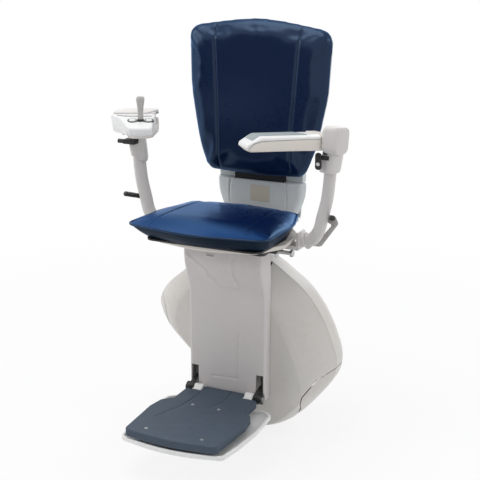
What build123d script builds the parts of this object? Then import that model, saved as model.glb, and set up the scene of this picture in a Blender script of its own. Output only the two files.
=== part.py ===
from build123d import *
from math import cos, radians, sin, sqrt
import os

# Stairlift chair, in millimetres. The origin is on the axis of the rail that the chair rides on.
# +X is the sitter's left, -Y is where the sitter looks, +Z is up.

# Rail and carriage
RAIL_R = 40.0
SHOE_X = 100.0
SHOE_LENGTH = 30.0
SHOE_R = 45.5
ROLLER_X = 55.0
ROLLER_WAIST_R = 22.0
ROLLER_HALF_WIDTH = 16.0
TREAD_GAP = 0.3
AXLE_R = 6.0
RUNNING_GAP = 0.05
PINION_TEETH = 12
PINION_TIP_R = 28.0
PINION_ROOT_R = 19.5
PINION_Z = -72.0
SHAFT_R = 8.0
CHASSIS_BACK_Y = -46.0
CHASSIS_THICKNESS = 6.0
CHASSIS_FRONT_Y = CHASSIS_BACK_Y - CHASSIS_THICKNESS

# Housing
HOUSING_REAR_Y = -54.0
HOUSING_REAR_INSET = 25.0
HOUSING_RIM_Y = -112.0
HOUSING_SEAM_Y = -152.0
HOUSING_FRONT_Y = -217.0
HOUSING_BULGE = [(0.0, 0.0), (0.42, 0.2), (0.78, 0.52), (1.0, 1.0)]
HOUSING_WALL = 3.5
COVER_GAP = 2.6
HOUSING_CENTRE = (20.0, 30.0)
RIM_TOP = (0, 256)
RIM_TOP_RIGHT = [(70, 236), (120, 204), (172, 165), (225, 93)]
RIM_RIGHT = (262, 0)
RIM_LOWER_RIGHT = [(259, -42), (240, -78), (190, -142), (135, -193)]
RIM_BOTTOM = (88, -214)
RIM_CORNER = (56, -207)
RIM_LEFT = (-228, 40)
RIM_UPPER_LEFT = [(-243, 80), (-222, 127), (-173, 172), (-95, 232)]
FRONT_TOP = (0, 222)
FRONT_TOP_RIGHT = [(62, 196), (105, 132), (138, 72), (166, 12)]
FRONT_RIGHT = (184, -42)
FRONT_LOWER_RIGHT = [(193, -78), (186, -112), (156, -150), (120, -180)]
FRONT_BOTTOM = (82, -195)
FRONT_CORNER = (54, -188)
FRONT_LEFT = (-158, 22)
FRONT_UPPER_LEFT = [(-168, 62), (-152, 112), (-112, 160), (-62, 200)]
RIM = (RIM_TOP, RIM_TOP_RIGHT, RIM_RIGHT, RIM_LOWER_RIGHT, RIM_BOTTOM, RIM_CORNER, RIM_LEFT, RIM_UPPER_LEFT)
FRONT = (
    FRONT_TOP, FRONT_TOP_RIGHT, FRONT_RIGHT, FRONT_LOWER_RIGHT,
    FRONT_BOTTOM, FRONT_CORNER, FRONT_LEFT, FRONT_UPPER_LEFT,
)

# The two lower corners of the housing are loose covers that give way and stop the chair
RIGHT_COVER_SEAM = [
    (320, -12), (272, -20), (224, -52), (192, -98), (180, -138), (146, -190), (190, -260), (330, -220),
]
LEFT_COVER_SEAM = [(-300, 118), (-236, 110), (-206, 84), (-192, 40), (-196, -30), (-300, -30)]

# Leg and footrest
PANEL_HALF_WIDTH = 106.0
PANEL_FRONT_Y = -250.0
PANEL_BOTTOM_Z = -110.0
PANEL_TOP_Z = 293.0
PANEL_REAR_Y = -218.0
PANEL_WALL = 3.0
PANEL_LEAN = 30.0
PANEL_RADII = [1, 60, 60, 2, 1, 1]
FOOT_HINGE_Y = -264.0
FOOT_HINGE_Z = -100.0
FOOT_PIN_R = 6.0
FOOT_TOP_Z = -96.0
FOOT_THICKNESS = 20.0

# Seat
SWIVEL_Y = -222.0
POST_R = 24.0
LATCH_REACH = 44.0
LATCH_R = 5.0
SEAT_FRONT_Y = -458.0
SEAT_REAR_Y = -116.0
SEAT_HALF_WIDTH = 184.0
SEAT_BOTTOM_Z = 326.0
SEAT_RIM_Z = 341.0
SEAT_EDGE_Z = 367.0
SEAT_CROWN = 9.0
SEAT_RAKE = 1.8
BACK_BOTTOM_Z = 439.0
BACK_TOP_Z = 834.0
BACK_FRONT_Y = -100.0
BACK_THICKNESS = 34.0
BACK_SHELL_THICKNESS = 10.0
BACK_RECLINE = 3.5
BACK_CORNERS = [
    (-199, BACK_TOP_Z - 27), (0, BACK_TOP_Z + 4), (199, BACK_TOP_Z - 27),
    (192, BACK_BOTTOM_Z + 206), (167, BACK_BOTTOM_Z + 76), (136, BACK_BOTTOM_Z + 3),
    (0, BACK_BOTTOM_Z - 3), (-136, BACK_BOTTOM_Z + 3),
    (-167, BACK_BOTTOM_Z + 76), (-192, BACK_BOTTOM_Z + 206),
]
BACK_RADII = [36, 500, 36, 250, 250, 30, 500, 30, 250, 250]
SPINE_FRONT_Y = -52.0
SPINE_THICKNESS = 8.0
REAR_COVER_FRONT_Y = -43.6
COLUMN_PLAN = [(-126, -26), (-117, -54), (-84, -63), (84, -63), (117, -54), (126, -26)]

# Arms, drawn for the sitter's left and mirrored for the right
ARM_TUBE_R = 16.5
ARM_TUBE_BORE_R = 13.5
ARM_ROUTE = [(186.0, 322.0), (221.0, 325.0), (251.0, 422.0), (264.5, 536.0)]
ARM_TOP = (268.5, 564.0)
ARM_BEND_R = 42.0
ARM_POST_Y = -222.0
ARM_SLEEVE_R = 21.0
ARM_TOE_IN = 25.5
ARM_TILT = 6.5
ARM_ORIGIN = Vector(234.0, -224.0, 551.0)
ARM_HALF_WIDTH = 29.5
ARM_LENGTH = 240.0
ARM_PIVOT_UP = 16.0
ARM_END_R = 20.5
ARM_FLOOR = -4.5
ARM_SPLIT_UP = 20.5
KNUCKLE_R = 33.0
KNUCKLE_UP = 24.0
STICK_ALONG = 200.0
BUTTON_ASIDE = 19.0
BUTTON_WELL_R = 8.6
HEAD_START = 101.5
HEAD_TOP = 51.0
HEAD_CREST = (182.0, 48.0)
HEAD_NOSE_TOP = 29.0
PIVOT_PIN_R = 7.0

# Swivel levers and belt
LEVER_PIVOT = (205.0, -196.0, 306.0)
LEVER_THICKNESS = 3.6
LEVER_PIN_R = 4.0
GRIP_START = (252.0, -192.4, 372.0)
GRIP_END = (282.0, -261.0, 394.0)
GRIP_R = 6.5
BELT_PIN = (238.5, -248.0, 533.0)

os.makedirs("parts", exist_ok=True)


def save(name, shape):
    export_step(shape, f"parts/{name}.step")


def block(x_range, y_range, z_range):
    ranges = (x_range, y_range, z_range)
    centre = [sum(pair) / 2 for pair in ranges]
    sizes = [pair[1] - pair[0] for pair in ranges]
    return Pos(*centre) * Box(*sizes)


def rod(start, end, radius):
    start = Vector(*start)
    reach = Vector(*end) - start
    plane = Plane(origin=start, z_dir=reach)
    return plane * Pos(0, 0, reach.length / 2) * Cylinder(radius, reach.length)


def outline(points, radii):
    return make_face(FilletPolyline(*points, radius=radii, close=True).edges())


# A prism whose outline is drawn in the plane that is square to X, Y or Z
def prism(axis, points, radii, start, end):
    place = {
        "x": lambda a, b: (start, a, b),
        "y": lambda a, b: (a, start, b),
        "z": lambda a, b: (a, b, start),
    }[axis]
    direction = {"x": (1, 0, 0), "y": (0, 1, 0), "z": (0, 0, 1)}[axis]
    return extrude(outline([place(*point) for point in points], radii), end - start, direction)


def mirrored(shape):
    return mirror(shape, Plane.YZ)


def both_sides(shape):
    return shape + mirrored(shape)


# ---------------------------------------------------------------- carriage

def chassis_plate():
    rim = Face(housing_wire(RIM, CHASSIS_FRONT_Y, HOUSING_REAR_INSET + 6))
    plate = extrude(rim, CHASSIS_THICKNESS, (0, 1, 0))
    shaft_hole = rod((0, -60, PINION_Z), (0, -40, PINION_Z), SHAFT_R + 4)
    return plate - shaft_hole


# Each shoe is a C around the rail, open at the back where the rail's brackets pass
def guide_shoes():
    shoes = Part()
    for x in (-SHOE_X, SHOE_X):
        start = x - SHOE_LENGTH / 2
        end = x + SHOE_LENGTH / 2
        shoe = rod((start, 0, 0), (end, 0, 0), SHOE_R)
        shoe += block((start, end), (CHASSIS_BACK_Y, 0), (-38, 38))
        shoe -= rod((start - 1, 0, 0), (end + 1, 0, 0), RAIL_R)
        shoe -= block((start - 1, end + 1), (20, SHOE_R + 1), (-SHOE_R, SHOE_R))
        shoes += shoe
    return shoes


def roller_centre_z():
    return RAIL_R + ROLLER_WAIST_R + TREAD_GAP


def guide_roller(x):
    edge_rise = sqrt((RAIL_R + TREAD_GAP) ** 2 - ROLLER_HALF_WIDTH**2)
    edge_r = roller_centre_z() - edge_rise
    half = ROLLER_HALF_WIDTH
    bore = AXLE_R + RUNNING_GAP
    tread = ThreePointArc((edge_r, half, 0), (ROLLER_WAIST_R, 0, 0), (edge_r, -half, 0))
    rest = Polyline((edge_r, -half, 0), (bore, -half, 0), (bore, half, 0), (edge_r, half, 0))
    section = make_face(tread.edges() + rest.edges())
    return Pos(x, 0, roller_centre_z()) * revolve(section, Axis.Y, 360)


def roller_axles():
    axles = Part()
    for x in (-ROLLER_X, ROLLER_X):
        z = roller_centre_z()
        axle = rod((x, CHASSIS_BACK_Y, z), (x, 20, z), AXLE_R)
        axle += rod((x, CHASSIS_BACK_Y, z), (x, -17, z), AXLE_R + 4)
        axle += rod((x, 17, z), (x, 22, z), AXLE_R + 4)
        axles += axle
    return axles


def drive_pinion():
    pinion = rod((0, -12, 0), (0, 12, 0), PINION_TIP_R)
    pitch_angle = 360 / PINION_TEETH
    space = prism("y", [(-2.3, PINION_ROOT_R), (2.3, PINION_ROOT_R), (5.6, 30), (-5.6, 30)], 1, -13, 13)
    for tooth in range(PINION_TEETH):
        pinion -= Rot(0, tooth * pitch_angle, 0) * space
    pinion += rod((0, -110, 0), (0, 18, 0), SHAFT_R)
    return Pos(0, 0, PINION_Z) * pinion


def gearbox():
    case = prism("x", [(-124, -98), (-53, -98), (-53, -30), (-124, -30)], 10, -20, 46)
    case += rod((0, -126, PINION_Z), (0, -53, PINION_Z), 30)
    return case - rod((0, -111, PINION_Z), (0, -50, PINION_Z), SHAFT_R + RUNNING_GAP)


def drive_motor():
    motor = rod((0, -90, -30), (0, -90, 112), 34)
    motor += rod((0, -90, 112), (0, -90, 120), 20)
    return motor


def batteries():
    left = block((56, 146), (-126, -64), (18, 138))
    for x in (80, 122):
        left += rod((x, -94, 138), (x, -94, 144), 5)
    return both_sides(left)


def control_board():
    board = block((60, 160), (-148, -146), (-5, 110))
    for z in (10, 45, 80):
        board += block((75, 105), (-156, -148), (z, z + 18))
    board += rod((135, -146, 50), (135, -166, 50), 11)
    return board


# Two contact strips that meet the charging point at the end of the rail
def charge_contacts():
    contacts = Part()
    for z in (-25, 15):
        contacts += block((150, 185), (CHASSIS_BACK_Y, CHASSIS_BACK_Y + 9), (z, z + 8))
    return contacts


def chassis_screws():
    screws = Part()
    for x, z in ((-150, 20), (-120, 140), (140, 140), (185, 40), (155, -100), (70, -140)):
        head = rod((x, CHASSIS_BACK_Y, z), (x, CHASSIS_BACK_Y + 5, z), 7)
        socket = rod((x, CHASSIS_BACK_Y + 2, z), (x, CHASSIS_BACK_Y + 6, z), 3.2)
        screws += head - socket
    return screws


# ---------------------------------------------------------------- housing

def housing_wire(corners, y, inset):
    def place(point):
        toward = Vector(point[0] - HOUSING_CENTRE[0], 0, point[1] - HOUSING_CENTRE[1])
        shrunk = toward * (1 - inset / toward.length)
        return Vector(HOUSING_CENTRE[0] + shrunk.X, y, HOUSING_CENTRE[1] + shrunk.Z)

    top, top_right, right, lower_right, bottom, corner, left, upper_left = corners
    return Wire([
        Spline(*[place(point) for point in [top, *top_right, right]]).edge(),
        Spline(*[place(point) for point in [right, *lower_right, bottom]]).edge(),
        Line(place(bottom), place(corner)).edge(),
        Line(place(corner), place(left)).edge(),
        Spline(*[place(point) for point in [left, *upper_left, top]]).edge(),
    ])


# The outline between the front face and the rim: `share` is how far it has widened
def widened(share):
    def between(front, rim):
        return tuple(a + (b - a) * share for a, b in zip(front, rim))

    corners = []
    for front, rim in zip(FRONT, RIM):
        if isinstance(front, list):
            corners.append([between(*pair) for pair in zip(front, rim)])
        else:
            corners.append(between(front, rim))
    return corners


def housing_form(inset, front_y, rear_y):
    depth = HOUSING_SEAM_Y - front_y
    rings = []
    for share, along in HOUSING_BULGE:
        rings.append(Face(housing_wire(widened(share), front_y + along * depth, inset)))
    form = loft(rings, ruled=True)
    drum = Face(housing_wire(RIM, HOUSING_SEAM_Y, inset))
    form += extrude(drum, HOUSING_RIM_Y - HOUSING_SEAM_Y, (0, 1, 0))
    tail = Face(housing_wire(RIM, HOUSING_RIM_Y, inset))
    end = Face(housing_wire(RIM, rear_y, inset + HOUSING_REAR_INSET))
    return form + loft([tail, end], ruled=True)


def housing_skin():
    outer = housing_form(0, HOUSING_FRONT_Y, HOUSING_REAR_Y)
    inner = housing_form(HOUSING_WALL, HOUSING_FRONT_Y + HOUSING_WALL, HOUSING_REAR_Y)
    leg_opening = block((-84, 84), (HOUSING_FRONT_Y - 2, HOUSING_SEAM_Y + 1), (100, 232))
    return outer - inner - leg_opening


def cover_zone(seam, shift):
    return prism("y", [(x + shift, z) for x, z in seam], 4, HOUSING_FRONT_Y - 5, HOUSING_REAR_Y + 5)


def housing_parts():
    skin = housing_skin()
    front_zone = block((-400, 400), (HOUSING_FRONT_Y - 5, HOUSING_SEAM_Y - 0.4), (-300, 300))
    rear_zone = block((-400, 400), (HOUSING_SEAM_Y, HOUSING_REAR_Y + 5), (-300, 300))
    body = skin - cover_zone(RIGHT_COVER_SEAM, 0) - cover_zone(LEFT_COVER_SEAM, 0)
    return {
        "housing_front": body & front_zone,
        "housing_shell": body & rear_zone,
        "safety_cover_left": skin & cover_zone(RIGHT_COVER_SEAM, COVER_GAP),
        "safety_cover_right": skin & cover_zone(LEFT_COVER_SEAM, -COVER_GAP),
    }


# ---------------------------------------------------------------- leg

def panel_profile(inset, bottom, top, rear):
    low = PANEL_FRONT_Y + inset
    high = low - PANEL_LEAN
    return [(low, bottom), (low, 160), (high, 250), (high, top), (rear, top), (rear, bottom)]


# A pressed panel with side flanges and two slots for the footrest's hinge ears
def leg_panel():
    width = PANEL_HALF_WIDTH
    wall = PANEL_WALL
    profile = panel_profile(0, PANEL_BOTTOM_Z, PANEL_TOP_Z, PANEL_REAR_Y)
    hollow = panel_profile(wall, PANEL_BOTTOM_Z - 5, PANEL_TOP_Z + 5, PANEL_REAR_Y + 10)
    panel = prism("x", profile, PANEL_RADII, -width, width)
    panel -= prism("x", hollow, PANEL_RADII, wall - width, width - wall)
    slot = prism("y", [(81, -100), (101, -100), (101, -43), (81, -43)], 2, -252, -240)
    return panel - both_sides(slot)


# Two steel cheeks inside the panel, tied to the chassis, with the hinge ears at their feet
def leg_frame():
    cheek_profile = [(-242, -98), (-220, -98), (-220, 284), (-266, 284), (-266, 252), (-242, 180)]
    cheek = prism("x", cheek_profile, 4, 92, 98)
    ear_profile = [
        (-276, -90), (-240, -78), (-220, -78), (-220, -98), (-251, -98), (-251, -112), (-276, -112),
    ]
    ear = prism("x", ear_profile, 5, 85, 98)
    boss = rod((85, FOOT_HINGE_Y, FOOT_HINGE_Z), (106, FOOT_HINGE_Y, FOOT_HINGE_Z), 13)
    pin_hole = rod((80, FOOT_HINGE_Y, FOOT_HINGE_Z), (110, FOOT_HINGE_Y, FOOT_HINGE_Z), FOOT_PIN_R)
    side = cheek + ear + boss - pin_hole
    arm = block((56, 64), (-222, CHASSIS_FRONT_Y), (150, 205))
    frame = both_sides(side) + both_sides(arm)
    frame += block((-98, 98), (-226, -220), (110, 267))
    frame += block((-98, 98), (-266, -184), (276, 284))
    return frame - rod((0, SWIVEL_Y, 270), (0, SWIVEL_Y, 290), POST_R)


def footrest_pins():
    pin = rod((58, FOOT_HINGE_Y, FOOT_HINGE_Z), (106, FOOT_HINGE_Y, FOOT_HINGE_Z), FOOT_PIN_R)
    pin += rod((106, FOOT_HINGE_Y, FOOT_HINGE_Z), (109, FOOT_HINGE_Y, FOOT_HINGE_Z), FOOT_PIN_R + 2)
    return both_sides(pin)


# ---------------------------------------------------------------- footrest

def footrest_plate():
    corners = [
        (-122, -562), (0, -578), (122, -562), (131, -420), (124, -374), (100, -352), (100, -284),
        (57, -284), (57, -255), (-57, -255), (-57, -284), (-100, -284), (-100, -352),
        (-124, -374), (-131, -420),
    ]
    radii = [14, 400, 14, 40, 16, 10, 5, 2, 5, 5, 2, 5, 10, 16, 40]
    plate = prism("z", corners, radii, FOOT_TOP_Z - FOOT_THICKNESS, FOOT_TOP_Z)
    return chamfer(plate.faces().sort_by(Axis.Z)[-1].outer_wire().edges(), 2)


# Each arm has a barrel on the hinge pin and runs forward under the plate
def footrest_arms():
    bottom = FOOT_TOP_Z - FOOT_THICKNESS
    axis = (FOOT_HINGE_Y, FOOT_HINGE_Z)
    arm = rod((60, *axis), (83, *axis), 12)
    arm += block((60, 83), (-552, FOOT_HINGE_Y), (bottom - 4, bottom))
    arm += block((60, 83), (-283.8, FOOT_HINGE_Y), (bottom, FOOT_HINGE_Z + 4))
    arm -= rod((50, *axis), (90, *axis), FOOT_PIN_R + RUNNING_GAP)
    for y in (-330, -540):
        arm += rod((74, y, -134), (74, y, bottom), 3)
        arm += rod((74, y, -139), (74, y, -134), 6)
    return both_sides(arm)


# A shallow white tray floats on four studs under the footrest and lifts when something is below it
def footrest_tray():
    corners = [
        (-136, -556), (0, -588), (136, -556), (146, -490), (152, -400), (146, -300), (126, -284),
        (-126, -284), (-146, -300), (-152, -400), (-146, -490),
    ]
    radii = [16, 400, 16, 60, 60, 14, 6, 6, 14, 60, 60]
    tray = prism("z", corners, radii, -133.6, -121)
    pocket = prism("z", [(x * 0.965, -430 + (y + 430) * 0.97) for x, y in corners], radii, -130, -118)
    tray -= pocket + block((-110, 110), (-292, -280), (-126, -118))
    for x in (-74, 74):
        for y in (-330, -540):
            tray -= rod((x, y, -140), (x, y, -110), 4)
    return tray


# ---------------------------------------------------------------- swivel

def swivel_post():
    post = rod((0, SWIVEL_Y, 268), (0, SWIVEL_Y, 276), 48)
    post += rod((0, SWIVEL_Y, 268), (0, SWIVEL_Y, 314), POST_R)
    return post - rod((0, SWIVEL_Y, 260), (0, SWIVEL_Y, 320), POST_R - 8)


def thrust_washer():
    washer = rod((0, SWIVEL_Y, 292), (0, SWIVEL_Y, 295.6), 34)
    return washer - rod((0, SWIVEL_Y, 290), (0, SWIVEL_Y, 300), POST_R)


# The fixed disc has a notch for the latch at every eighth of a turn
def index_plate():
    plate = rod((0, SWIVEL_Y, 284), (0, SWIVEL_Y, 292), LATCH_REACH + 10)
    plate -= rod((0, SWIVEL_Y, 280), (0, SWIVEL_Y, 300), POST_R)
    for angle in (-90, -45, 0, 45, 90):
        turn = Pos(0, SWIVEL_Y, 0) * Rot(0, 0, angle)
        plate -= turn * rod((0, LATCH_REACH, 288), (0, LATCH_REACH, 293), LATCH_R + 1)
    return plate


# The seat's main plate, with a tongue at the back that carries the spine
def swivel_plate():
    plate = prism("z", [(-132, -322), (132, -322), (132, -130), (-132, -130)], 12, 296, 308)
    plate += block((-150, 150), (-288, -190), (296, 308))
    plate += block((-70, 70), (-140, -44), (300, 308))
    plate -= rod((0, SWIVEL_Y, 290), (0, SWIVEL_Y, 310), POST_R + RUNNING_GAP)
    latch_y = SWIVEL_Y + LATCH_REACH
    return plate - rod((0, latch_y, 290), (0, latch_y, 310), LATCH_R + RUNNING_GAP)


def latch_plunger():
    y = SWIVEL_Y + LATCH_REACH
    return rod((0, y, 292.4), (0, y, 310), LATCH_R) + rod((0, y, 309), (0, y, 312), 8)


def seat_tray():
    corners = [
        (-128, -366), (0, -394), (128, -366), (174, -287), (168, -190),
        (120, -126), (-120, -126), (-168, -190), (-174, -287),
    ]
    tray = prism("z", corners, [16, 200, 16, 16, 40, 20, 20, 40, 16], 311, 322)
    inner = [(x * 0.965, -250 + (y + 250) * 0.96) for x, y in corners]
    tray -= prism("z", inner, [14, 200, 14, 14, 40, 18, 18, 40, 14], 310, 319)
    for y in (-300, -160):
        tray += both_sides(block((96, 118), (y - 10, y + 10), (308, 320)))
    return tray + rod((0, SWIVEL_Y, 314.5), (0, SWIVEL_Y, 320), 36)


def tray_knobs():
    knob = rod((184, -277, 300), (190, -277, 300), 9) + rod((150, -277, 300), (184, -277, 300), 5)
    knob += block((144, 150), (-284, -270), (285, 296))
    return both_sides(knob)


# ---------------------------------------------------------------- seat and back

def seat_pan():
    corners = [(-152, -392), (152, -392), (160, -250), (132, -136), (-132, -136), (-160, -250)]
    return prism("z", corners, 24, 322, 326)


# The cushion's outline at one height, drawn in by `inset` at the front and half as much at the sides
def seat_section(z, inset):
    half = SEAT_HALF_WIDTH - inset / 2
    front = SEAT_FRONT_Y + inset
    rear = SEAT_REAR_Y - inset / 2
    corners = [
        (-half, front + 34), (0, front), (half, front + 34), (half - 3, -250), (144, rear - 20),
        (0, rear + 4), (-144, rear - 20), (3 - half, -250),
    ]
    return outline([(x, y, z) for x, y in corners], [34, 300, 34, 200, 34, 200, 34, 200])


# The sides lean in below the edge, the top's edge is rounded off and the top falls towards the backrest
def seat_cushion():
    tip = Axis((0, SEAT_FRONT_Y, SEAT_EDGE_Z), (1, 0, 0))
    sections = [seat_section(SEAT_BOTTOM_Z, 44), seat_section(SEAT_RIM_Z, 26)]
    for rise, inset in ((0, 0), (SEAT_CROWN * 0.65, 3), (SEAT_CROWN, 11)):
        sections.append(seat_section(SEAT_EDGE_Z + rise, inset).rotate(tip, -SEAT_RAKE))
    return loft(sections, ruled=True)


def reclined(shape):
    hinge = Axis((0, BACK_FRONT_Y, BACK_BOTTOM_Z), (1, 0, 0))
    return shape.rotate(hinge, -BACK_RECLINE)


def backrest_cushion():
    rear = BACK_FRONT_Y + BACK_THICKNESS
    cushion = prism("y", BACK_CORNERS, BACK_RADII, BACK_FRONT_Y, rear)
    front_edges = cushion.faces().sort_by(Axis.Y)[0].outer_wire().edges()
    return reclined(fillet(front_edges, 12))


def backrest_shell():
    rear = BACK_FRONT_Y + BACK_THICKNESS
    middle_z = (BACK_TOP_Z + BACK_BOTTOM_Z) / 2
    corners = [(x * 0.97, middle_z + (z - middle_z) * 0.975) for x, z in BACK_CORNERS]
    shell = prism("y", corners, BACK_RADII, rear, rear + BACK_SHELL_THICKNESS)
    rear_edges = shell.faces().sort_by(Axis.Y)[-1].outer_wire().edges()
    return reclined(fillet(rear_edges, 6))


# The steel spine stands on the swivel plate's rear edge and carries the backrest
def back_frame():
    rear = BACK_FRONT_Y + BACK_THICKNESS + BACK_SHELL_THICKNESS
    spine_y = (SPINE_FRONT_Y, SPINE_FRONT_Y + SPINE_THICKNESS)
    upright = block((-70, 70), spine_y, (308, BACK_BOTTOM_Z))
    carrier = reclined(block((-62, 62), (rear + 0.2, rear + 8), (BACK_BOTTOM_Z - 12, 700)))
    return upright + carrier


def column_front():
    radii = [4, 18, 12, 12, 18, 4]
    cover = prism("z", COLUMN_PLAN, radii, 309, 414)
    inner = prism("z", [(x * 0.97, y + 3) for x, y in COLUMN_PLAN], radii, 300, 411)
    return cover - inner - block((-71, 71), (-58, -20), (400, 420))


def column_rear():
    corners = [(-126, -25.6), (126, -25.6), (112, 0), (76, 12), (-76, 12), (-112, 0)]
    cover = prism("z", corners, [2, 2, 14, 14, 14, 14], 309, 560)
    cover += block((-118, 118), (REAR_COVER_FRONT_Y, -24), (414.4, 560))
    inner = prism("z", [(x * 0.97, y - 3) for x, y in corners], [2, 2, 12, 12, 12, 12], 300, 557)
    inner += block((-115, 115), (REAR_COVER_FRONT_Y + 3, -27), (400, 557))
    return cover - inner - reclined(block((-64, 64), (-80, REAR_COVER_FRONT_Y - 2.4), (405, 640)))


# ---------------------------------------------------------------- arms

def arm_route(radius):
    points = [(x, ARM_POST_Y, z) for x, z in ARM_ROUTE]
    path = FilletPolyline(*points, radius=ARM_BEND_R)
    start = Vector(*points[0])
    section = Plane(origin=start, z_dir=Vector(*points[1]) - start) * Circle(radius)
    return sweep(section, path=path)


def arm_tube():
    return arm_route(ARM_TUBE_R) - arm_route(ARM_TUBE_BORE_R)


# The stepped collar carries the tube out from under the side of the seat tray
def arm_collar():
    reach_y = (ARM_POST_Y - 22, ARM_POST_Y + 22)
    collar = block((150.2, 188), reach_y, (296, 307.8))
    collar += block((184, 190), reach_y, (296, 341))
    collar = fillet(collar.edges().filter_by(Axis.X), 4)
    collar += rod((188, ARM_POST_Y, 322.2), (202, ARM_POST_Y, 323.1), ARM_TUBE_R + 4)
    return collar - arm_route(ARM_TUBE_R)


def arm_plane():
    toe = radians(ARM_TOE_IN)
    tilt = radians(ARM_TILT)
    forward = Vector(-sin(toe) * cos(tilt), -cos(toe) * cos(tilt), sin(tilt))
    outward = Vector(cos(toe), -sin(toe), 0)
    return Plane(origin=ARM_ORIGIN, x_dir=forward, z_dir=forward.cross(outward))


# In the arm's own frame x runs forward, y outward and z up
def on_arm(shape):
    return arm_plane() * shape


def sleeve_core():
    return rod((258.5, ARM_POST_Y, 486), (ARM_TOP[0], ARM_POST_Y, ARM_TOP[1]), ARM_SLEEVE_R)


def arm_sleeve():
    sleeve = sleeve_core()
    knuckle = on_arm(rod((0, 31, KNUCKLE_UP), (0, 64, KNUCKLE_UP), KNUCKLE_R))
    sleeve += knuckle
    swept = on_arm(rod((0, -40, ARM_PIVOT_UP), (0, 30.6, ARM_PIVOT_UP), 36))
    swept += on_arm(block((-42, 60), (-60, 30.6), (ARM_FLOOR - 2.5, 60)))
    sleeve -= swept
    sleeve -= arm_route(ARM_TUBE_R)
    sleeve -= arm_stop()
    return sleeve - on_arm(rod((0, 20, ARM_PIVOT_UP), (0, 52, ARM_PIVOT_UP), PIVOT_PIN_R))


def arm_pivot_pin():
    return on_arm(rod((0, -20, ARM_PIVOT_UP), (0, 52, ARM_PIVOT_UP), PIVOT_PIN_R))


# The left armrest's nose is cut back on the inside
def nose_zone():
    return prism("z", [(226, -32), (253, 32), (290, 32), (290, -32)], 0.5, ARM_FLOOR - 5, 60)


def armrest_body(profile, radii):
    body = prism("y", profile, radii, -ARM_HALF_WIDTH, ARM_HALF_WIDTH)
    body += rod((0, -ARM_HALF_WIDTH, ARM_PIVOT_UP), (0, ARM_HALF_WIDTH, ARM_PIVOT_UP), ARM_END_R)
    return body - rod((0, -22, ARM_PIVOT_UP), (0, 30, ARM_PIVOT_UP), PIVOT_PIN_R + RUNNING_GAP)


def armrest_left():
    profile = [(0, ARM_FLOOR), (222, ARM_FLOOR), (243, 2), (206, ARM_SPLIT_UP), (0, ARM_SPLIT_UP)]
    return on_arm(armrest_body(profile, [4, 20, 3, 20, 1]) - nose_zone())


def armrest_right():
    profile = [(0, 0), (212, 0), (236, 8), (ARM_LENGTH - 6, ARM_SPLIT_UP), (0, ARM_SPLIT_UP)]
    return on_arm(armrest_body(profile, [1, 30, 4, 1, 1]))


# The upper shell comes down over the nose
def armrest_pad_left():
    low = ARM_SPLIT_UP + 0.3
    profile = [(26, low), (206.2, low), (243.8, 2.0), (250, 6), (250, 14), (212, 34), (26, 36)]
    pad = prism("y", profile, [1, 20, 2, 3, 8, 20, 4], -ARM_HALF_WIDTH, ARM_HALF_WIDTH)
    pad -= inlay_block(26, 0.2)
    return on_arm(pad - nose_zone())


def inlay_block(floor, margin):
    half = 19 + margin
    corners = [(96 - margin, -half), (198 + margin, -half), (206 + margin, half), (96 - margin, half)]
    return prism("z", corners, 10, floor, 60)


def armrest_inlay_left():
    top = [(90, 26), (210, 26), (210, 34.2), (90, 35.4)]
    return on_arm(inlay_block(26, 0) & prism("y", top, 0.5, -30, 30))


# The right armrest carries a wide pad and a control head that widens towards the elbow
def armrest_pad_right():
    plan = [(-14, -30), (101, -30), (101, 72), (40, 72), (40, 29), (-14, 29)]
    pad = prism("z", plan, [10, 3, 3, 14, 3, 10], 48.4, 56)
    pad += block((28, 101), (-26, 26), (ARM_SPLIT_UP + 0.3, 48.4))
    return on_arm(pad)


def control_head():
    low = ARM_SPLIT_UP + 0.3
    plan = [(HEAD_START, -30), (ARM_LENGTH, -30), (ARM_LENGTH + 3, 0), (ARM_LENGTH, 30), (HEAD_START, 76)]
    head = prism("z", plan, [3, 8, 40, 8, 6], low, 60)
    head += prism("z", [(HEAD_START, 30.4), (ARM_LENGTH - 8, 30.4), (HEAD_START, 70)], 2, 5, low + 1)
    above = [
        (HEAD_START, HEAD_TOP), HEAD_CREST, (ARM_LENGTH - 4, HEAD_NOSE_TOP),
        (ARM_LENGTH + 60, 80), (HEAD_START, 90),
    ]
    head -= prism("y", above, 0.5, -80, 100)
    head -= panel_zone(6, 0.2)
    for side in (-1, 1):
        middle = side * BUTTON_ASIDE
        head -= slope_frame() * rod((0, middle, -9), (0, middle, 0), BUTTON_WELL_R)
    head -= stick_well()
    return on_arm(head)


# A frame on the head's sloping top, with its origin where the joystick leaves it
def slope_frame():
    fall = (HEAD_CREST[1] - HEAD_NOSE_TOP) / (ARM_LENGTH - 4 - HEAD_CREST[0])
    height = HEAD_CREST[1] - (STICK_ALONG - HEAD_CREST[0]) * fall
    return Plane(origin=(STICK_ALONG, 0, height), x_dir=(1, 0, -fall), z_dir=(fall, 0, 1))


def stick_well():
    return Plane(origin=slope_frame().origin) * rod((0, 0, -11), (0, 0, 6), 8)


def panel_zone(depth, margin):
    half_x = 13.5 + margin
    half_y = 32 + margin
    corners = [(-half_x, -half_y), (half_x, -half_y), (half_x, half_y), (-half_x, half_y)]
    return slope_frame() * prism("z", corners, 12, -depth / 2, 1)


def control_panel():
    panel = panel_zone(6, 0) - slope_frame() * block((-90, 60), (-60, 60), (-0.4, 10))
    for side in (-1, 1):
        panel -= slope_frame() * button_form(side, 0.4, -10, 10)
    return on_arm(panel - stick_well())


def button_form(side, margin, low, high):
    half_x = 7 + margin
    half_y = 8 + margin
    middle = side * BUTTON_ASIDE
    near = middle - half_y
    far = middle + half_y
    corners = [(-half_x, near), (half_x, near), (half_x, far), (-half_x, far)]
    return prism("z", corners, 6.5 + margin, low, high)


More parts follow.
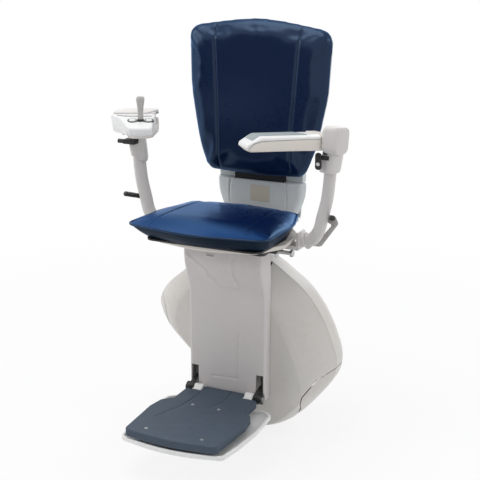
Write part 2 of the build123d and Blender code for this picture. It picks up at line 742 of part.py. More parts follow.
def button(side):
    form = button_form(side, 0, -2.2, 2.4)
    stem = rod((0, side * BUTTON_ASIDE, -6.5), (0, side * BUTTON_ASIDE, -2), 3)
    return on_arm(slope_frame() * (form + stem))


def joystick():
    stick = rod((0, 0, -8), (0, 0, 7), 4)
    stick += rod((-5, 0, 0), (5, 0, 0), 5)
    stick += prism("x", [(-6, 6), (6, 6), (9, 57), (-9, 57)], [2, 2, 8, 8], -8, 8)
    return on_arm(Plane(origin=slope_frame().origin) * stick)


def arm_stop():
    top = ARM_FLOOR - 0.4
    return on_arm(prism("z", [(-8, 19), (10, 19), (10, 30), (-8, 30)], 3, top - 7, top))


# ---------------------------------------------------------------- levers and belt

# A cranked bar behind the arm tube, with a grip that reaches forward beside the tube
def lever_bar():
    x, y, z = LEVER_PIVOT
    points = [
        (x - 12, z - 7), (x + 24, z - 7), (x + 68, z + 56), (x + 58, z + 76),
        (x + 38, z + 76), (x + 36, z + 58), (x + 52, z + 52), (x + 17, z + 8), (x - 12, z + 8),
    ]
    bar = prism("y", points, [7, 14, 8, 9, 9, 6, 4, 14, 7], y, y + LEVER_THICKNESS)
    bar -= rod((x, y - 8, z), (x, y + 8, z), LEVER_PIN_R + RUNNING_GAP)
    return bar - rod(GRIP_START, GRIP_END, GRIP_R)


def lever_pivot():
    x, y, z = LEVER_PIVOT
    pivot = rod((x, ARM_POST_Y, z), (x, y + 7, z), LEVER_PIN_R)
    pivot += rod((x, y + LEVER_THICKNESS + 0.4, z), (x, y + 7, z), LEVER_PIN_R + 4)
    pivot += rod((x, ARM_POST_Y, z), (x, y - 0.4, z), LEVER_PIN_R + 4)
    return pivot - arm_route(ARM_TUBE_R) - arm_collar()


def lever_grip():
    return rod(GRIP_START, GRIP_END, GRIP_R)


def belt_tongue():
    x, y, z = BELT_PIN
    strap = prism("y", [(x - 8, z - 30), (x + 8, z - 30), (x + 8, z + 11), (x - 8, z + 11)], 7, y - 2, y + 2)
    strap -= rod((x, y - 4, z), (x, y + 4, z), 2.5 + RUNNING_GAP)
    return strap + rod((x, y - 5, z - 16), (x, y - 2, z - 16), 4)


# The tongue hangs from a pin on the left sleeve, and the right sleeve carries the buckle's hook
def belt_mounts():
    x, y, z = BELT_PIN
    left = rod((x, y - 3.5, z), (x, y + 7, z), 2.5) + rod((x, y - 5, z), (x, y - 2.4, z), 4)
    left += block((x - 6, 264), (y + 3, y + 9), (z - 6, z + 4))
    right = block((-282, -250), (-262, -236), (523, 534)) + rod((-298, -256, 528.5), (-282, -256, 528.5), 5.5)
    return (left + right) - both_sides(sleeve_core())


# ---------------------------------------------------------------- write every piece

CARRIAGE = {
    "chassis_plate": chassis_plate, "guide_shoes": guide_shoes, "roller_axles": roller_axles,
    "drive_pinion": drive_pinion, "gearbox": gearbox, "drive_motor": drive_motor, "batteries": batteries,
    "control_board": control_board, "charge_contacts": charge_contacts, "chassis_screws": chassis_screws,
    "leg_panel": leg_panel, "leg_frame": leg_frame, "footrest_pins": footrest_pins,
    "footrest_plate": footrest_plate, "footrest_arms": footrest_arms, "footrest_tray": footrest_tray,
    "swivel_post": swivel_post, "thrust_washer": thrust_washer, "index_plate": index_plate,
}
SEATING = {
    "swivel_plate": swivel_plate, "latch_plunger": latch_plunger, "seat_tray": seat_tray,
    "tray_knobs": tray_knobs, "seat_pan": seat_pan, "seat_cushion": seat_cushion,
    "backrest_cushion": backrest_cushion, "backrest_shell": backrest_shell, "back_frame": back_frame,
    "column_front": column_front, "column_rear": column_rear,
}
PAIRED = {"arm_tube": arm_tube, "arm_sleeve": arm_sleeve, "lever_bar": lever_bar, "lever_grip": lever_grip}
RIGHT_ONLY = {
    "armrest_right": armrest_right, "armrest_pad_right": armrest_pad_right, "control_head": control_head,
    "control_panel": control_panel, "joystick": joystick,
    "direction_button_inner": lambda: button(-1), "direction_button_outer": lambda: button(1),
}
LEFT_ONLY = {
    "armrest_left": armrest_left, "armrest_pad_left": armrest_pad_left,
    "armrest_inlay_left": armrest_inlay_left, "belt_tongue": belt_tongue, "belt_mounts": belt_mounts,
}
GROUPED = {
    "arm_collars": arm_collar, "arm_pivot_pins": arm_pivot_pin, "arm_stops": arm_stop,
    "lever_pivots": lever_pivot,
}

for name, make in {**CARRIAGE, **SEATING, **LEFT_ONLY}.items():
    save(name, make())
for name, make in RIGHT_ONLY.items():
    save(name, mirrored(make()))
for name, make in GROUPED.items():
    save(name, both_sides(make()))
for name, make in PAIRED.items():
    piece = make()
    save(f"{name}_left", piece)
    save(f"{name}_right", mirrored(piece))
for name, piece in housing_parts().items():
    save(name, piece)
for side, x in (("left", ROLLER_X), ("right", -ROLLER_X)):
    save(f"guide_roller_{side}", guide_roller(x))
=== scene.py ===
import math

import bmesh
import bpy
import numpy as np
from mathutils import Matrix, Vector


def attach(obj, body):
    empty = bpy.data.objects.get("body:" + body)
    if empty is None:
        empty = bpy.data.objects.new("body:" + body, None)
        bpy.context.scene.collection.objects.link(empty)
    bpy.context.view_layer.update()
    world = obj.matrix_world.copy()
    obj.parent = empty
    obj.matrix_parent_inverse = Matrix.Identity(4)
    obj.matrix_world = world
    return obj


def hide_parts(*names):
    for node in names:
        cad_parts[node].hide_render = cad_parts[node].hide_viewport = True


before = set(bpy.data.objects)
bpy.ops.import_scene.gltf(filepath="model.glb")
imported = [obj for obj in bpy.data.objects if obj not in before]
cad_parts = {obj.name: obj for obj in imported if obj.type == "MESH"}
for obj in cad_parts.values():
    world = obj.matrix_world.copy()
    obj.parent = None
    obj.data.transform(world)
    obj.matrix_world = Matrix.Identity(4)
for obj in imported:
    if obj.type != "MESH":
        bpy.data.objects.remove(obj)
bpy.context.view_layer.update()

# camera, as in the photograph, in metres and radians
cameraView = {
    "place": (1.21723, -2.77187, 1.11816),
    "pitch": 0.28333,
    "yaw": 0.43775,
    "lens": 88.388,
    "sensor": 36.0,
}


def addCamera():
    data = bpy.data.cameras.new("viewCamera")
    data.lens = cameraView["lens"]
    data.sensor_width = cameraView["sensor"]
    data.clip_start = 0.05
    data.clip_end = 60
    camera = bpy.data.objects.new("viewCamera", data)
    camera.location = cameraView["place"]
    camera.rotation_euler = (math.pi / 2 - cameraView["pitch"], 0, cameraView["yaw"])
    bpy.context.scene.collection.objects.link(camera)
    bpy.context.scene.camera = camera


addCamera()
print("camera in place")

# lamps: name, place, aimed at, size in metres, watts
studio = {
    "floorZ": -0.222,
    # metres from the middle where the floor's own glow starts and stops rising, then its two levels
    "floorRamp": (0.75, 2.0, 0.82, 1.0),
    "ambient": 0.5,
    "lamps": [
        ("overheadLamp", (-0.4, -0.6, 2.8), (0, -0.2, 0.3), 2.2, 36),
        ("leftLamp", (-2.6, -1.6, 1.5), (0, -0.2, 0.3), 1.5, 20),
        ("rightLamp", (2.4, 0.2, 1.5), (0, -0.2, 0.3), 1.2, 12),
        ("rearLamp", (0.2, 2.4, 1.6), (0, 0, 0.3), 1.8, 14),
    ],
    # dark card that only reflections see: centre, facing, width, height
    "card": ((-1.9, -3.1, 0.25), (0, 0, 0.6), 2.6, 1.7),
}


def addLamp(name, place, target, size, watts):
    data = bpy.data.lights.new(name, "AREA")
    data.shape = "DISK"
    data.size = size
    data.energy = watts
    lamp = bpy.data.objects.new(name, data)
    lamp.location = place
    lamp.rotation_euler = (Vector(target) - Vector(place)).to_track_quat("-Z", "Y").to_euler()
    bpy.context.scene.collection.objects.link(lamp)


def seenRays(nodes, links):
    path = nodes.new("ShaderNodeLightPath")
    first = nodes.new("ShaderNodeMath")
    first.operation = "MAXIMUM"
    second = nodes.new("ShaderNodeMath")
    second.operation = "MAXIMUM"
    links.new(path.outputs["Is Camera Ray"], first.inputs[0])
    links.new(path.outputs["Is Transmission Ray"], first.inputs[1])
    links.new(first.outputs[0], second.inputs[0])
    links.new(path.outputs["Is Glossy Ray"], second.inputs[1])
    return second.outputs[0]


def flatSheet(name, corners):
    mesh = bpy.data.meshes.new(name)
    mesh.from_pydata(corners, [], [(0, 1, 2, 3)])
    sheet = bpy.data.objects.new(name, mesh)
    bpy.context.scene.collection.objects.link(sheet)
    return sheet


def plainMaterial(name, shaderType):
    material = bpy.data.materials.new(name)
    material.use_nodes = True
    nodes, links = material.node_tree.nodes, material.node_tree.links
    nodes.clear()
    shader = nodes.new(shaderType)
    out = nodes.new("ShaderNodeOutputMaterial")
    links.new(shader.outputs[0], out.inputs["Surface"])
    return material, nodes, links, shader, out


def addStudio():
    for lamp in studio["lamps"]:
        addLamp(*lamp)
    world = bpy.data.worlds.new("studioWorld")
    bpy.context.scene.world = world
    world.use_nodes = True
    nodes, links = world.node_tree.nodes, world.node_tree.links
    nodes.clear()
    soft = nodes.new("ShaderNodeBackground")
    soft.inputs["Strength"].default_value = studio["ambient"]
    white = nodes.new("ShaderNodeBackground")
    white.inputs["Color"].default_value = (1, 1, 1, 1)
    soft.inputs["Color"].default_value = (0.97, 0.98, 1, 1)
    mix = nodes.new("ShaderNodeMixShader")
    out = nodes.new("ShaderNodeOutputWorld")
    links.new(seenRays(nodes, links), mix.inputs["Fac"])
    links.new(soft.outputs[0], mix.inputs[1])
    links.new(white.outputs[0], mix.inputs[2])
    links.new(mix.outputs[0], out.inputs["Surface"])
    z = studio["floorZ"]
    floor = flatSheet("studioFloor", [(-60, -60, z), (60, -60, z), (60, 60, z), (-60, 60, z)])
    pale, nodes, links, matte, out = plainMaterial("paleFloor", "ShaderNodeBsdfDiffuse")
    matte.inputs["Color"].default_value = (0.88, 0.88, 0.88, 1)
    glow = nodes.new("ShaderNodeEmission")
    share = nodes.new("ShaderNodeMath")
    share.operation = "MULTIPLY"
    # the floor turns to pure white away from the object and its shadow
    place = nodes.new("ShaderNodeTexCoord")
    away = nodes.new("ShaderNodeVectorMath")
    away.operation = "LENGTH"
    links.new(place.outputs["Object"], away.inputs[0])
    ramp = nodes.new("ShaderNodeMapRange")
    ramp.interpolation_type = "SMOOTHSTEP"
    for label, value in zip(("From Min", "From Max", "To Min", "To Max"), studio["floorRamp"]):
        ramp.inputs[label].default_value = value
    links.new(away.outputs["Value"], ramp.inputs["Value"])
    links.new(ramp.outputs["Result"], share.inputs[1])
    mix = nodes.new("ShaderNodeMixShader")
    links.new(seenRays(nodes, links), share.inputs[0])
    links.new(share.outputs[0], mix.inputs["Fac"])
    links.new(matte.outputs[0], mix.inputs[1])
    links.new(glow.outputs[0], mix.inputs[2])
    links.new(mix.outputs[0], out.inputs["Surface"])
    floor.data.materials.append(pale)
    centre, facing, width, height = studio["card"]
    turn = (Vector(facing) - Vector(centre)).to_track_quat("Z", "Y").to_matrix()
    corners = [Vector(centre) + turn @ Vector((a * width / 2, b * height / 2, 0))
               for a, b in ((-1, -1), (1, -1), (1, 1), (-1, 1))]
    card = flatSheet("darkCard", corners)
    dark, nodes, links, shader, out = plainMaterial("darkCard", "ShaderNodeEmission")
    shader.inputs["Color"].default_value = (0.012, 0.014, 0.02, 1)
    card.data.materials.append(dark)
    card.visible_camera = False
    card.visible_diffuse = False
    card.visible_shadow = False
    bpy.context.scene.view_settings.view_transform = "Standard"


addStudio()
print("studio ready")


# shader groups shared by the finishes

def shaderGroup(name, inputs, outputs):
    group = bpy.data.node_groups.new(name, "ShaderNodeTree")
    for label, kind, value in inputs:
        socket = group.interface.new_socket(name=label, in_out="INPUT", socket_type=kind)
        if value is not None:
            socket.default_value = value
    for label, kind in outputs:
        group.interface.new_socket(name=label, in_out="OUTPUT", socket_type=kind)
    start = group.nodes.new("NodeGroupInput")
    end = group.nodes.new("NodeGroupOutput")
    return group, start, end


def noiseNode(tree, vector, scale, detail=3.0, roughness=0.5):
    node = tree.nodes.new("ShaderNodeTexNoise")
    node.inputs["Detail"].default_value = detail
    node.inputs["Roughness"].default_value = roughness
    tree.links.new(vector, node.inputs["Vector"])
    if isinstance(scale, (int, float)):
        node.inputs["Scale"].default_value = scale
    else:
        tree.links.new(scale, node.inputs["Scale"])
    return node.outputs["Fac"]


def mathNode(tree, operation, first, second):
    node = tree.nodes.new("ShaderNodeMath")
    node.operation = operation
    for socket, value in zip(node.inputs, (first, second)):
        if isinstance(value, (int, float)):
            socket.default_value = value
        elif value is not None:
            tree.links.new(value, socket)
    return node.outputs[0]


def rangeNode(tree, value, fromLow, fromHigh, toLow, toHigh):
    node = tree.nodes.new("ShaderNodeMapRange")
    tree.links.new(value, node.inputs["Value"])
    for label, given in (("From Min", fromLow), ("From Max", fromHigh), ("To Min", toLow),
                         ("To Max", toHigh)):
        if isinstance(given, (int, float)):
            node.inputs[label].default_value = given
        else:
            tree.links.new(given, node.inputs[label])
    return node.outputs["Result"]


def colourMix(tree, factor, first, second, blend="MIX"):
    node = tree.nodes.new("ShaderNodeMix")
    node.data_type = "RGBA"
    node.blend_type = blend
    for label, value in ((0, factor), (6, first), (7, second)):
        socket = node.inputs[label]
        if isinstance(value, (int, float)):
            socket.default_value = value
        elif isinstance(value, tuple):
            socket.default_value = (*value, 1) if len(value) == 3 else value
        else:
            tree.links.new(value, socket)
    return node.outputs[2]


def buildWearGroup():
    # cloudy soil and handling marks: colour and roughness that drift over the surface
    group, start, end = shaderGroup(
        "handlingWear",
        [("Vector", "NodeSocketVector", None), ("Base", "NodeSocketColor", (0.8, 0.8, 0.8, 1)),
         ("Soil", "NodeSocketColor", (0.5, 0.48, 0.45, 1)), ("Amount", "NodeSocketFloat", 0.2),
         ("Smooth", "NodeSocketFloat", 0.35), ("Rough", "NodeSocketFloat", 0.5)],
        [("Color", "NodeSocketColor"), ("Roughness", "NodeSocketFloat")])
    vector = start.outputs["Vector"]
    broad = noiseNode(group, vector, 7.0, 4.0, 0.55)
    fine = noiseNode(group, vector, 60.0, 3.0, 0.6)
    cloud = rangeNode(group, broad, 0.38, 0.68, 0.0, 1.0)
    speck = rangeNode(group, fine, 0.45, 0.75, 0.35, 1.0)
    share = mathNode(group, "MULTIPLY", mathNode(group, "MULTIPLY", cloud, speck), start.outputs["Amount"])
    group.links.new(colourMix(group, share, start.outputs["Base"], start.outputs["Soil"]),
                    end.inputs["Color"])
    mixed = mathNode(group, "ADD", mathNode(group, "MULTIPLY", broad, 0.65),
                     mathNode(group, "MULTIPLY", fine, 0.35))
    rough = rangeNode(group, mixed, 0.3, 0.7, start.outputs["Smooth"], start.outputs["Rough"])
    group.links.new(rough, end.inputs["Roughness"])
    return group


def buildGrainGroup():
    # pebbled surface of moulded plastic, powder coat and rubber
    group, start, end = shaderGroup(
        "surfaceGrain",
        [("Vector", "NodeSocketVector", None), ("Scale", "NodeSocketFloat", 900.0),
         ("Mix", "NodeSocketFloat", 0.5)],
        [("Height", "NodeSocketFloat")])
    cells = group.nodes.new("ShaderNodeTexVoronoi")
    cells.feature = "SMOOTH_F1"
    group.links.new(start.outputs["Vector"], cells.inputs["Vector"])
    group.links.new(start.outputs["Scale"], cells.inputs["Scale"])
    ripple = noiseNode(group, start.outputs["Vector"], start.outputs["Scale"], 2.0)
    blend = group.nodes.new("ShaderNodeMix")
    group.links.new(start.outputs["Mix"], blend.inputs[0])
    group.links.new(cells.outputs["Distance"], blend.inputs[2])
    group.links.new(ripple, blend.inputs[3])
    group.links.new(blend.outputs[0], end.inputs["Height"])
    return group


def buildDustGroup():
    # pale dust that settles on what faces up
    group, start, end = shaderGroup(
        "settledDust",
        [("Vector", "NodeSocketVector", None), ("Color", "NodeSocketColor", (0.5, 0.5, 0.5, 1)),
         ("Dust", "NodeSocketColor", (0.5, 0.48, 0.45, 1)), ("Amount", "NodeSocketFloat", 0.1)],
        [("Color", "NodeSocketColor")])
    facing = group.nodes.new("ShaderNodeNewGeometry")
    split = group.nodes.new("ShaderNodeSeparateXYZ")
    group.links.new(facing.outputs["Normal"], split.inputs[0])
    up = rangeNode(group, split.outputs["Z"], 0.55, 0.98, 0.0, 1.0)
    patch = rangeNode(group, noiseNode(group, start.outputs["Vector"], 38.0, 5.0, 0.65), 0.35, 0.75, 0.2,
                      1.0)
    share = mathNode(group, "MULTIPLY", mathNode(group, "MULTIPLY", up, patch), start.outputs["Amount"])
    group.links.new(colourMix(group, share, start.outputs["Color"], start.outputs["Dust"]),
                    end.inputs["Color"])
    return group


wearGroup = buildWearGroup()
grainGroup = buildGrainGroup()
dustGroup = buildDustGroup()


def placeGroup(tree, group, **values):
    node = tree.nodes.new("ShaderNodeGroup")
    node.node_tree = group
    for label, value in values.items():
        socket = node.inputs[label]
        if isinstance(value, bpy.types.NodeSocket):
            tree.links.new(value, socket)
        elif isinstance(value, tuple):
            socket.default_value = (*value, 1)
        else:
            socket.default_value = value
    return node


# base and soil colours are linear; grain is a scale per metre, bump a height in millimetres
finishes = {
    "shellWhite": dict(base=(0.70, 0.675, 0.635), soil=(0.52, 0.48, 0.43), amount=0.3, smooth=0.30,
                       rough=0.46, grain=1500, bump=0.05, dust=0.06),
    "shellGrey": dict(base=(0.60, 0.635, 0.65), soil=(0.48, 0.50, 0.51), amount=0.3, smooth=0.34, rough=0.5,
                      grain=1500, bump=0.05, dust=0.06),
    "panelGrey": dict(base=(0.66, 0.625, 0.615), soil=(0.54, 0.50, 0.46), amount=0.35, smooth=0.36,
                      rough=0.52, grain=1300, bump=0.05, dust=0.05),
    "armPaint": dict(base=(0.68, 0.655, 0.64), soil=(0.54, 0.51, 0.48), amount=0.3, smooth=0.28, rough=0.42,
                     grain=700, bump=0.04, dust=0.06),
    # whiter and cooler than the beige body: partly the parts' own colour, partly painted light on the tops
    # of the left pad and the control head
    "armWhite": dict(base=(0.80, 0.80, 0.80), soil=(0.60, 0.57, 0.53), amount=0.25, smooth=0.30, rough=0.45,
                     grain=1600, bump=0.04, dust=0.04),
    "armBeige": dict(base=(0.74, 0.695, 0.64), soil=(0.60, 0.54, 0.48), amount=0.3, smooth=0.32, rough=0.48,
                     grain=1600, bump=0.05, dust=0.04),
    "trayWhite": dict(base=(0.86, 0.86, 0.85), soil=(0.55, 0.52, 0.48), amount=0.25, smooth=0.22, rough=0.4,
                      grain=800, bump=0.04, dust=0.08),
    "slateRubber": dict(base=(0.040, 0.064, 0.096), soil=(0.07, 0.09, 0.11), amount=0.45, smooth=0.52,
                        rough=0.72, grain=620, bump=0.22, dust=0.10),
    "darkRubber": dict(base=(0.009, 0.010, 0.011), soil=(0.03, 0.03, 0.03), amount=0.4, smooth=0.5,
                       rough=0.72, grain=700, bump=0.15, dust=0.12),
    "blackPlastic": dict(base=(0.010, 0.010, 0.011), soil=(0.03, 0.03, 0.03), amount=0.4, smooth=0.34,
                         rough=0.5, grain=1300, bump=0.06, dust=0.08),
    "blackGloss": dict(base=(0.006, 0.006, 0.007), soil=(0.02, 0.02, 0.022), amount=0.4, smooth=0.08,
                       rough=0.2, grain=400, bump=0.004, dust=0.05, coat=0.6),
    "greySoft": dict(base=(0.30, 0.34, 0.355), soil=(0.25, 0.27, 0.28), amount=0.4, smooth=0.5, rough=0.66,
                     grain=1500, bump=0.1, dust=0.05),
    "nylon": dict(base=(0.58, 0.56, 0.50), soil=(0.30, 0.27, 0.22), amount=0.5, smooth=0.36, rough=0.5,
                  grain=600, bump=0.03, dust=0.05),
    "blackSteel": dict(base=(0.013, 0.013, 0.014), soil=(0.035, 0.033, 0.03), amount=0.5, smooth=0.32,
                       rough=0.5, grain=900, bump=0.06, dust=0.16),
    "bareSteel": dict(base=(0.52, 0.52, 0.53), soil=(0.30, 0.27, 0.23), amount=0.35, smooth=0.24, rough=0.42,
                      grain=500, bump=0.02, dust=0.05, metal=1.0, brushed=True),
    "castAlloy": dict(base=(0.50, 0.50, 0.51), soil=(0.30, 0.28, 0.26), amount=0.45, smooth=0.42, rough=0.62,
                      grain=420, bump=0.22, dust=0.1, metal=1.0),
    "brass": dict(base=(0.72, 0.50, 0.19), soil=(0.32, 0.19, 0.07), amount=0.5, smooth=0.25, rough=0.45,
                  grain=400, bump=0.02, dust=0.05, metal=1.0, brushed=True),
    "leverGrey": dict(base=(0.40, 0.39, 0.38), soil=(0.24, 0.22, 0.20), amount=0.35, smooth=0.3, rough=0.45,
                      grain=700, bump=0.04, dust=0.05, metal=0.4),
    "stickGrey": dict(base=(0.47, 0.46, 0.45), soil=(0.36, 0.34, 0.32), amount=0.35, smooth=0.38, rough=0.55,
                      grain=1500, bump=0.08, dust=0.03),
    "plateBeige": dict(base=(0.56, 0.53, 0.44), soil=(0.46, 0.43, 0.36), amount=0.35, smooth=0.25, rough=0.4,
                       grain=900, bump=0.02, dust=0.03),
    "boardGreen": dict(base=(0.02, 0.13, 0.06), soil=(0.05, 0.12, 0.05), amount=0.4, smooth=0.25, rough=0.45,
                       grain=800, bump=0.05, dust=0.1),
}
madeFinishes = {}


def finish(name):
    if name in madeFinishes:
        return madeFinishes[name]
    spec = finishes[name]
    material = bpy.data.materials.new(name)
    material.use_nodes = True
    tree = material.node_tree
    shader = tree.nodes["Principled BSDF"]
    place = tree.nodes.new("ShaderNodeTexCoord").outputs["Object"]
    wear = placeGroup(tree, wearGroup, Vector=place, Base=spec["base"], Soil=spec["soil"],
                      Amount=spec["amount"], Smooth=spec["smooth"], Rough=spec["rough"])
    pale = tuple(min(1, 0.12 + c * 1.1) for c in spec["base"])
    dust = placeGroup(tree, dustGroup, Vector=place, Color=wear.outputs["Color"], Dust=pale,
                      Amount=spec["dust"])
    tree.links.new(dust.outputs["Color"], shader.inputs["Base Color"])
    tree.links.new(wear.outputs["Roughness"], shader.inputs["Roughness"])
    shader.inputs["Metallic"].default_value = spec.get("metal", 0.0)
    shader.inputs["Coat Weight"].default_value = spec.get("coat", 0.0)
    grain = placeGroup(tree, grainGroup, Vector=place, Scale=float(spec["grain"]), Mix=0.5)
    height = grain.outputs["Height"]
    if spec.get("brushed"):
        stretch = tree.nodes.new("ShaderNodeMapping")
        stretch.inputs["Scale"].default_value = (40, 1800, 1800)
        tree.links.new(place, stretch.inputs["Vector"])
        height = mathNode(tree, "ADD", height, noiseNode(tree, stretch.outputs["Vector"], 1.0, 2.0))
    bump = tree.nodes.new("ShaderNodeBump")
    bump.inputs["Strength"].default_value = 0.6
    bump.inputs["Distance"].default_value = spec["bump"] / 1000
    tree.links.new(height, bump.inputs["Height"])
    tree.links.new(bump.outputs["Normal"], shader.inputs["Normal"])
    madeFinishes[name] = material
    return material


# upholstery vinyl: fine leather grain, sewn lines read from the piece's own attributes
vinyl = {
    "base": (0.0030, 0.0105, 0.038),
    "deep": (0.0018, 0.006, 0.023),
    "thread": (0.004, 0.013, 0.042),
    # almost black: painted shade on the band round the seat's edge
    "band": (0.0008, 0.0009, 0.0012),
    # pale blue painted highlight for the front of the seat's top
    "wearHighlight": (0.030, 0.075, 0.15),
    "filmTint": (0.55, 0.76, 1.0),
    "filmIndex": 1.05,
    "grain": 620.0,
    "grainHeight": 0.00010,
    "seamHalf": 0.0011,
    "stitchPitch": 0.006,
}


def buildVinyl():
    material = bpy.data.materials.new("navyVinyl")
    material.use_nodes = True
    tree = material.node_tree
    shader = tree.nodes["Principled BSDF"]
    place = tree.nodes.new("ShaderNodeTexCoord").outputs["Object"]
    wear = placeGroup(tree, wearGroup, Vector=place, Base=vinyl["base"], Soil=vinyl["deep"],
                      Amount=0.5, Smooth=0.24, Rough=0.34)
    seam = tree.nodes.new("ShaderNodeAttribute")
    seam.attribute_name = "seamAcross"
    along = tree.nodes.new("ShaderNodeAttribute")
    along.attribute_name = "seamAlong"
    across = mathNode(tree, "ABSOLUTE", seam.outputs["Fac"], None)
    line = rangeNode(tree, across, vinyl["seamHalf"] * 0.4, vinyl["seamHalf"] * 1.5, 1.0, 0.0)
    # the seam's line darkens almost to black: partly its dark joint, partly painted shade in the groove
    colour = colourMix(tree, mathNode(tree, "MULTIPLY", line, 0.85), wear.outputs["Color"],
                       (0.0012, 0.003, 0.009))
    # two rows of stitches, one each side of the seam
    offset = mathNode(tree, "ABSOLUTE", mathNode(tree, "SUBTRACT", across, 0.0042), None)
    row = rangeNode(tree, offset, 0.0004, 0.0009, 1.0, 0.0)
    wave = mathNode(tree, "SINE",
                    mathNode(tree, "MULTIPLY", along.outputs["Fac"], math.tau / vinyl["stitchPitch"]), None)
    dash = rangeNode(tree, wave, -0.25, 0.15, 0.0, 1.0)
    stitch = mathNode(tree, "MULTIPLY", row, dash)
    colour = colourMix(tree, mathNode(tree, "MULTIPLY", stitch, 0.4), colour, vinyl["thread"])
    dust = placeGroup(tree, dustGroup, Vector=place, Color=colour, Dust=(0.05, 0.07, 0.10), Amount=0.03)
    # where legs rub, the surface is duller; its paler, bluer colour at the seat's front is a painted
    # highlight
    wearHighlight = tree.nodes.new("ShaderNodeAttribute")
    wearHighlight.attribute_name = "wearAndHighlight"
    wearHighlighted = colourMix(tree, wearHighlight.outputs["Fac"], dust.outputs["Color"], vinyl["wearHighlight"])
    # the band round a cushion's edge is duller, and its almost black colour is painted shade under the top
    band = tree.nodes.new("ShaderNodeAttribute")
    band.attribute_name = "bandPaintedShade"
    edged = colourMix(tree, band.outputs["Fac"], wearHighlighted, vinyl["band"])
    tree.links.new(edged, shader.inputs["Base Color"])
    rough = mathNode(tree, "MAXIMUM", wear.outputs["Roughness"],
                     mathNode(tree, "MULTIPLY", band.outputs["Fac"], 0.85))
    rough = mathNode(tree, "MAXIMUM", rough, mathNode(tree, "MULTIPLY", wearHighlight.outputs["Fac"], 0.44))
    tree.links.new(rough, shader.inputs["Roughness"])
    # a thin blue film tints what the vinyl mirrors
    shader.inputs["Coat Weight"].default_value = 1.0
    shader.inputs["Coat IOR"].default_value = vinyl["filmIndex"]
    shader.inputs["Coat Tint"].default_value = (*vinyl["filmTint"], 1)
    shader.inputs["Coat Roughness"].default_value = 0.3
    grain = placeGroup(tree, grainGroup, Vector=place, Scale=vinyl["grain"], Mix=0.35)
    crease = noiseNode(tree, place, 55.0, 3.0)
    height = mathNode(tree, "ADD", mathNode(tree, "MULTIPLY", grain.outputs["Height"], 0.6),
                      mathNode(tree, "MULTIPLY", crease, 1.3))
    height = mathNode(tree, "ADD", height, mathNode(tree, "MULTIPLY", line, -5.0))
    height = mathNode(tree, "ADD", height, mathNode(tree, "MULTIPLY", stitch, 1.6))
    bump = tree.nodes.new("ShaderNodeBump")
    bump.inputs["Strength"].default_value = 0.7
    bump.inputs["Distance"].default_value = vinyl["grainHeight"]
    tree.links.new(height, bump.inputs["Height"])
    tree.links.new(bump.outputs["Normal"], shader.inputs["Normal"])
    return material


madeFinishes["navyVinyl"] = buildVinyl()
print("finishes mixed")


# mesh helpers; all sizes are in millimetres

def addPiece(name, points, faces, look, body, slotName, replaced=(), sharp=35, flip=True):
    mesh = bpy.data.meshes.new(name)
    mesh.from_pydata([tuple(np.asarray(p, float) / 1000) for p in points], [],
                     [list(map(int, f)) for f in faces])
    bm = bmesh.new()
    bm.from_mesh(mesh)
    bmesh.ops.remove_doubles(bm, verts=bm.verts, dist=0.00001)
    bmesh.ops.dissolve_degenerate(bm, edges=bm.edges, dist=0.00001)
    if flip:
        bmesh.ops.recalc_face_normals(bm, faces=bm.faces)
    bm.to_mesh(mesh)
    bm.free()
    piece = bpy.data.objects.new(name, mesh)
    bpy.context.scene.collection.objects.link(piece)
    shadeByAngle(piece, sharp)
    dress(piece, look, body, slotName, replaced)
    return piece


def dress(piece, look, body, slotName, replaced=()):
    piece.data.materials.clear()
    piece.data.materials.append(finish(look))
    if body:
        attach(piece, body)
    if replaced:
        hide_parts(*replaced)


def shadeByAngle(piece, degrees):
    bm = bmesh.new()
    bm.from_mesh(piece.data)
    limit = math.radians(degrees)
    for face in bm.faces:
        face.smooth = True
    for edge in bm.edges:
        edge.smooth = not (len(edge.link_faces) == 2 and edge.calc_face_angle(0) > limit)
    bm.to_mesh(piece.data)
    bm.free()


def applyModifiers(piece):
    graph = bpy.context.evaluated_depsgraph_get()
    graph.update()
    mesh = bpy.data.meshes.new_from_object(piece.evaluated_get(graph), depsgraph=graph)
    piece.modifiers.clear()
    piece.data = mesh


def carve(target, cutter, operation="DIFFERENCE"):
    cut = target.modifiers.new("cut", "BOOLEAN")
    cut.operation = operation
    cut.solver = "EXACT"
    cut.object = cutter
    applyModifiers(target)


def dropPiece(piece):
    bpy.data.objects.remove(piece, do_unlink=True)


def carveAway(target, cutter):
    carve(target, cutter)
    dropPiece(cutter)


def roundedOutline(corners, radii, steps=6):
    count = len(corners)
    if isinstance(radii, (int, float)):
        radii = [radii] * count
    points = []
    for i, (corner, radius) in enumerate(zip(corners, radii)):
        corner = np.array(corner, float)
        back = np.array(corners[i - 1], float) - corner
        ahead = np.array(corners[(i + 1) % count], float) - corner
        back /= np.linalg.norm(back)
        ahead /= np.linalg.norm(ahead)
        half = math.acos(max(-1, min(1, float(back @ ahead)))) / 2
        middle = back + ahead
        middle /= np.linalg.norm(middle)
        centre = corner + middle * radius / math.sin(half)
        reach = radius / math.tan(half)
        first = corner + back * reach - centre
        last = corner + ahead * reach - centre
        for t in np.linspace(0, 1, steps + 1):
            way = first * (1 - t) + last * t
            points.append(centre + way / np.linalg.norm(way) * radius)
    return np.array(points)


def inset(points, distance):
    ahead = np.roll(points, -1, 0) - points
    length = np.linalg.norm(ahead, axis=1, keepdims=True)
    ahead = ahead / np.maximum(length, 1e-9)
    area = np.sum(points[:, 0] * np.roll(points[:, 1], -1) - np.roll(points[:, 0], -1) * points[:, 1])
    turn = 1 if area > 0 else -1
    normal = np.stack([-ahead[:, 1], ahead[:, 0]], 1) * turn
    back = np.roll(normal, 1, 0)
    both = normal + back
    scale = 1 + np.sum(normal * back, 1, keepdims=True)
    return points + both / np.maximum(scale, 0.25) * distance


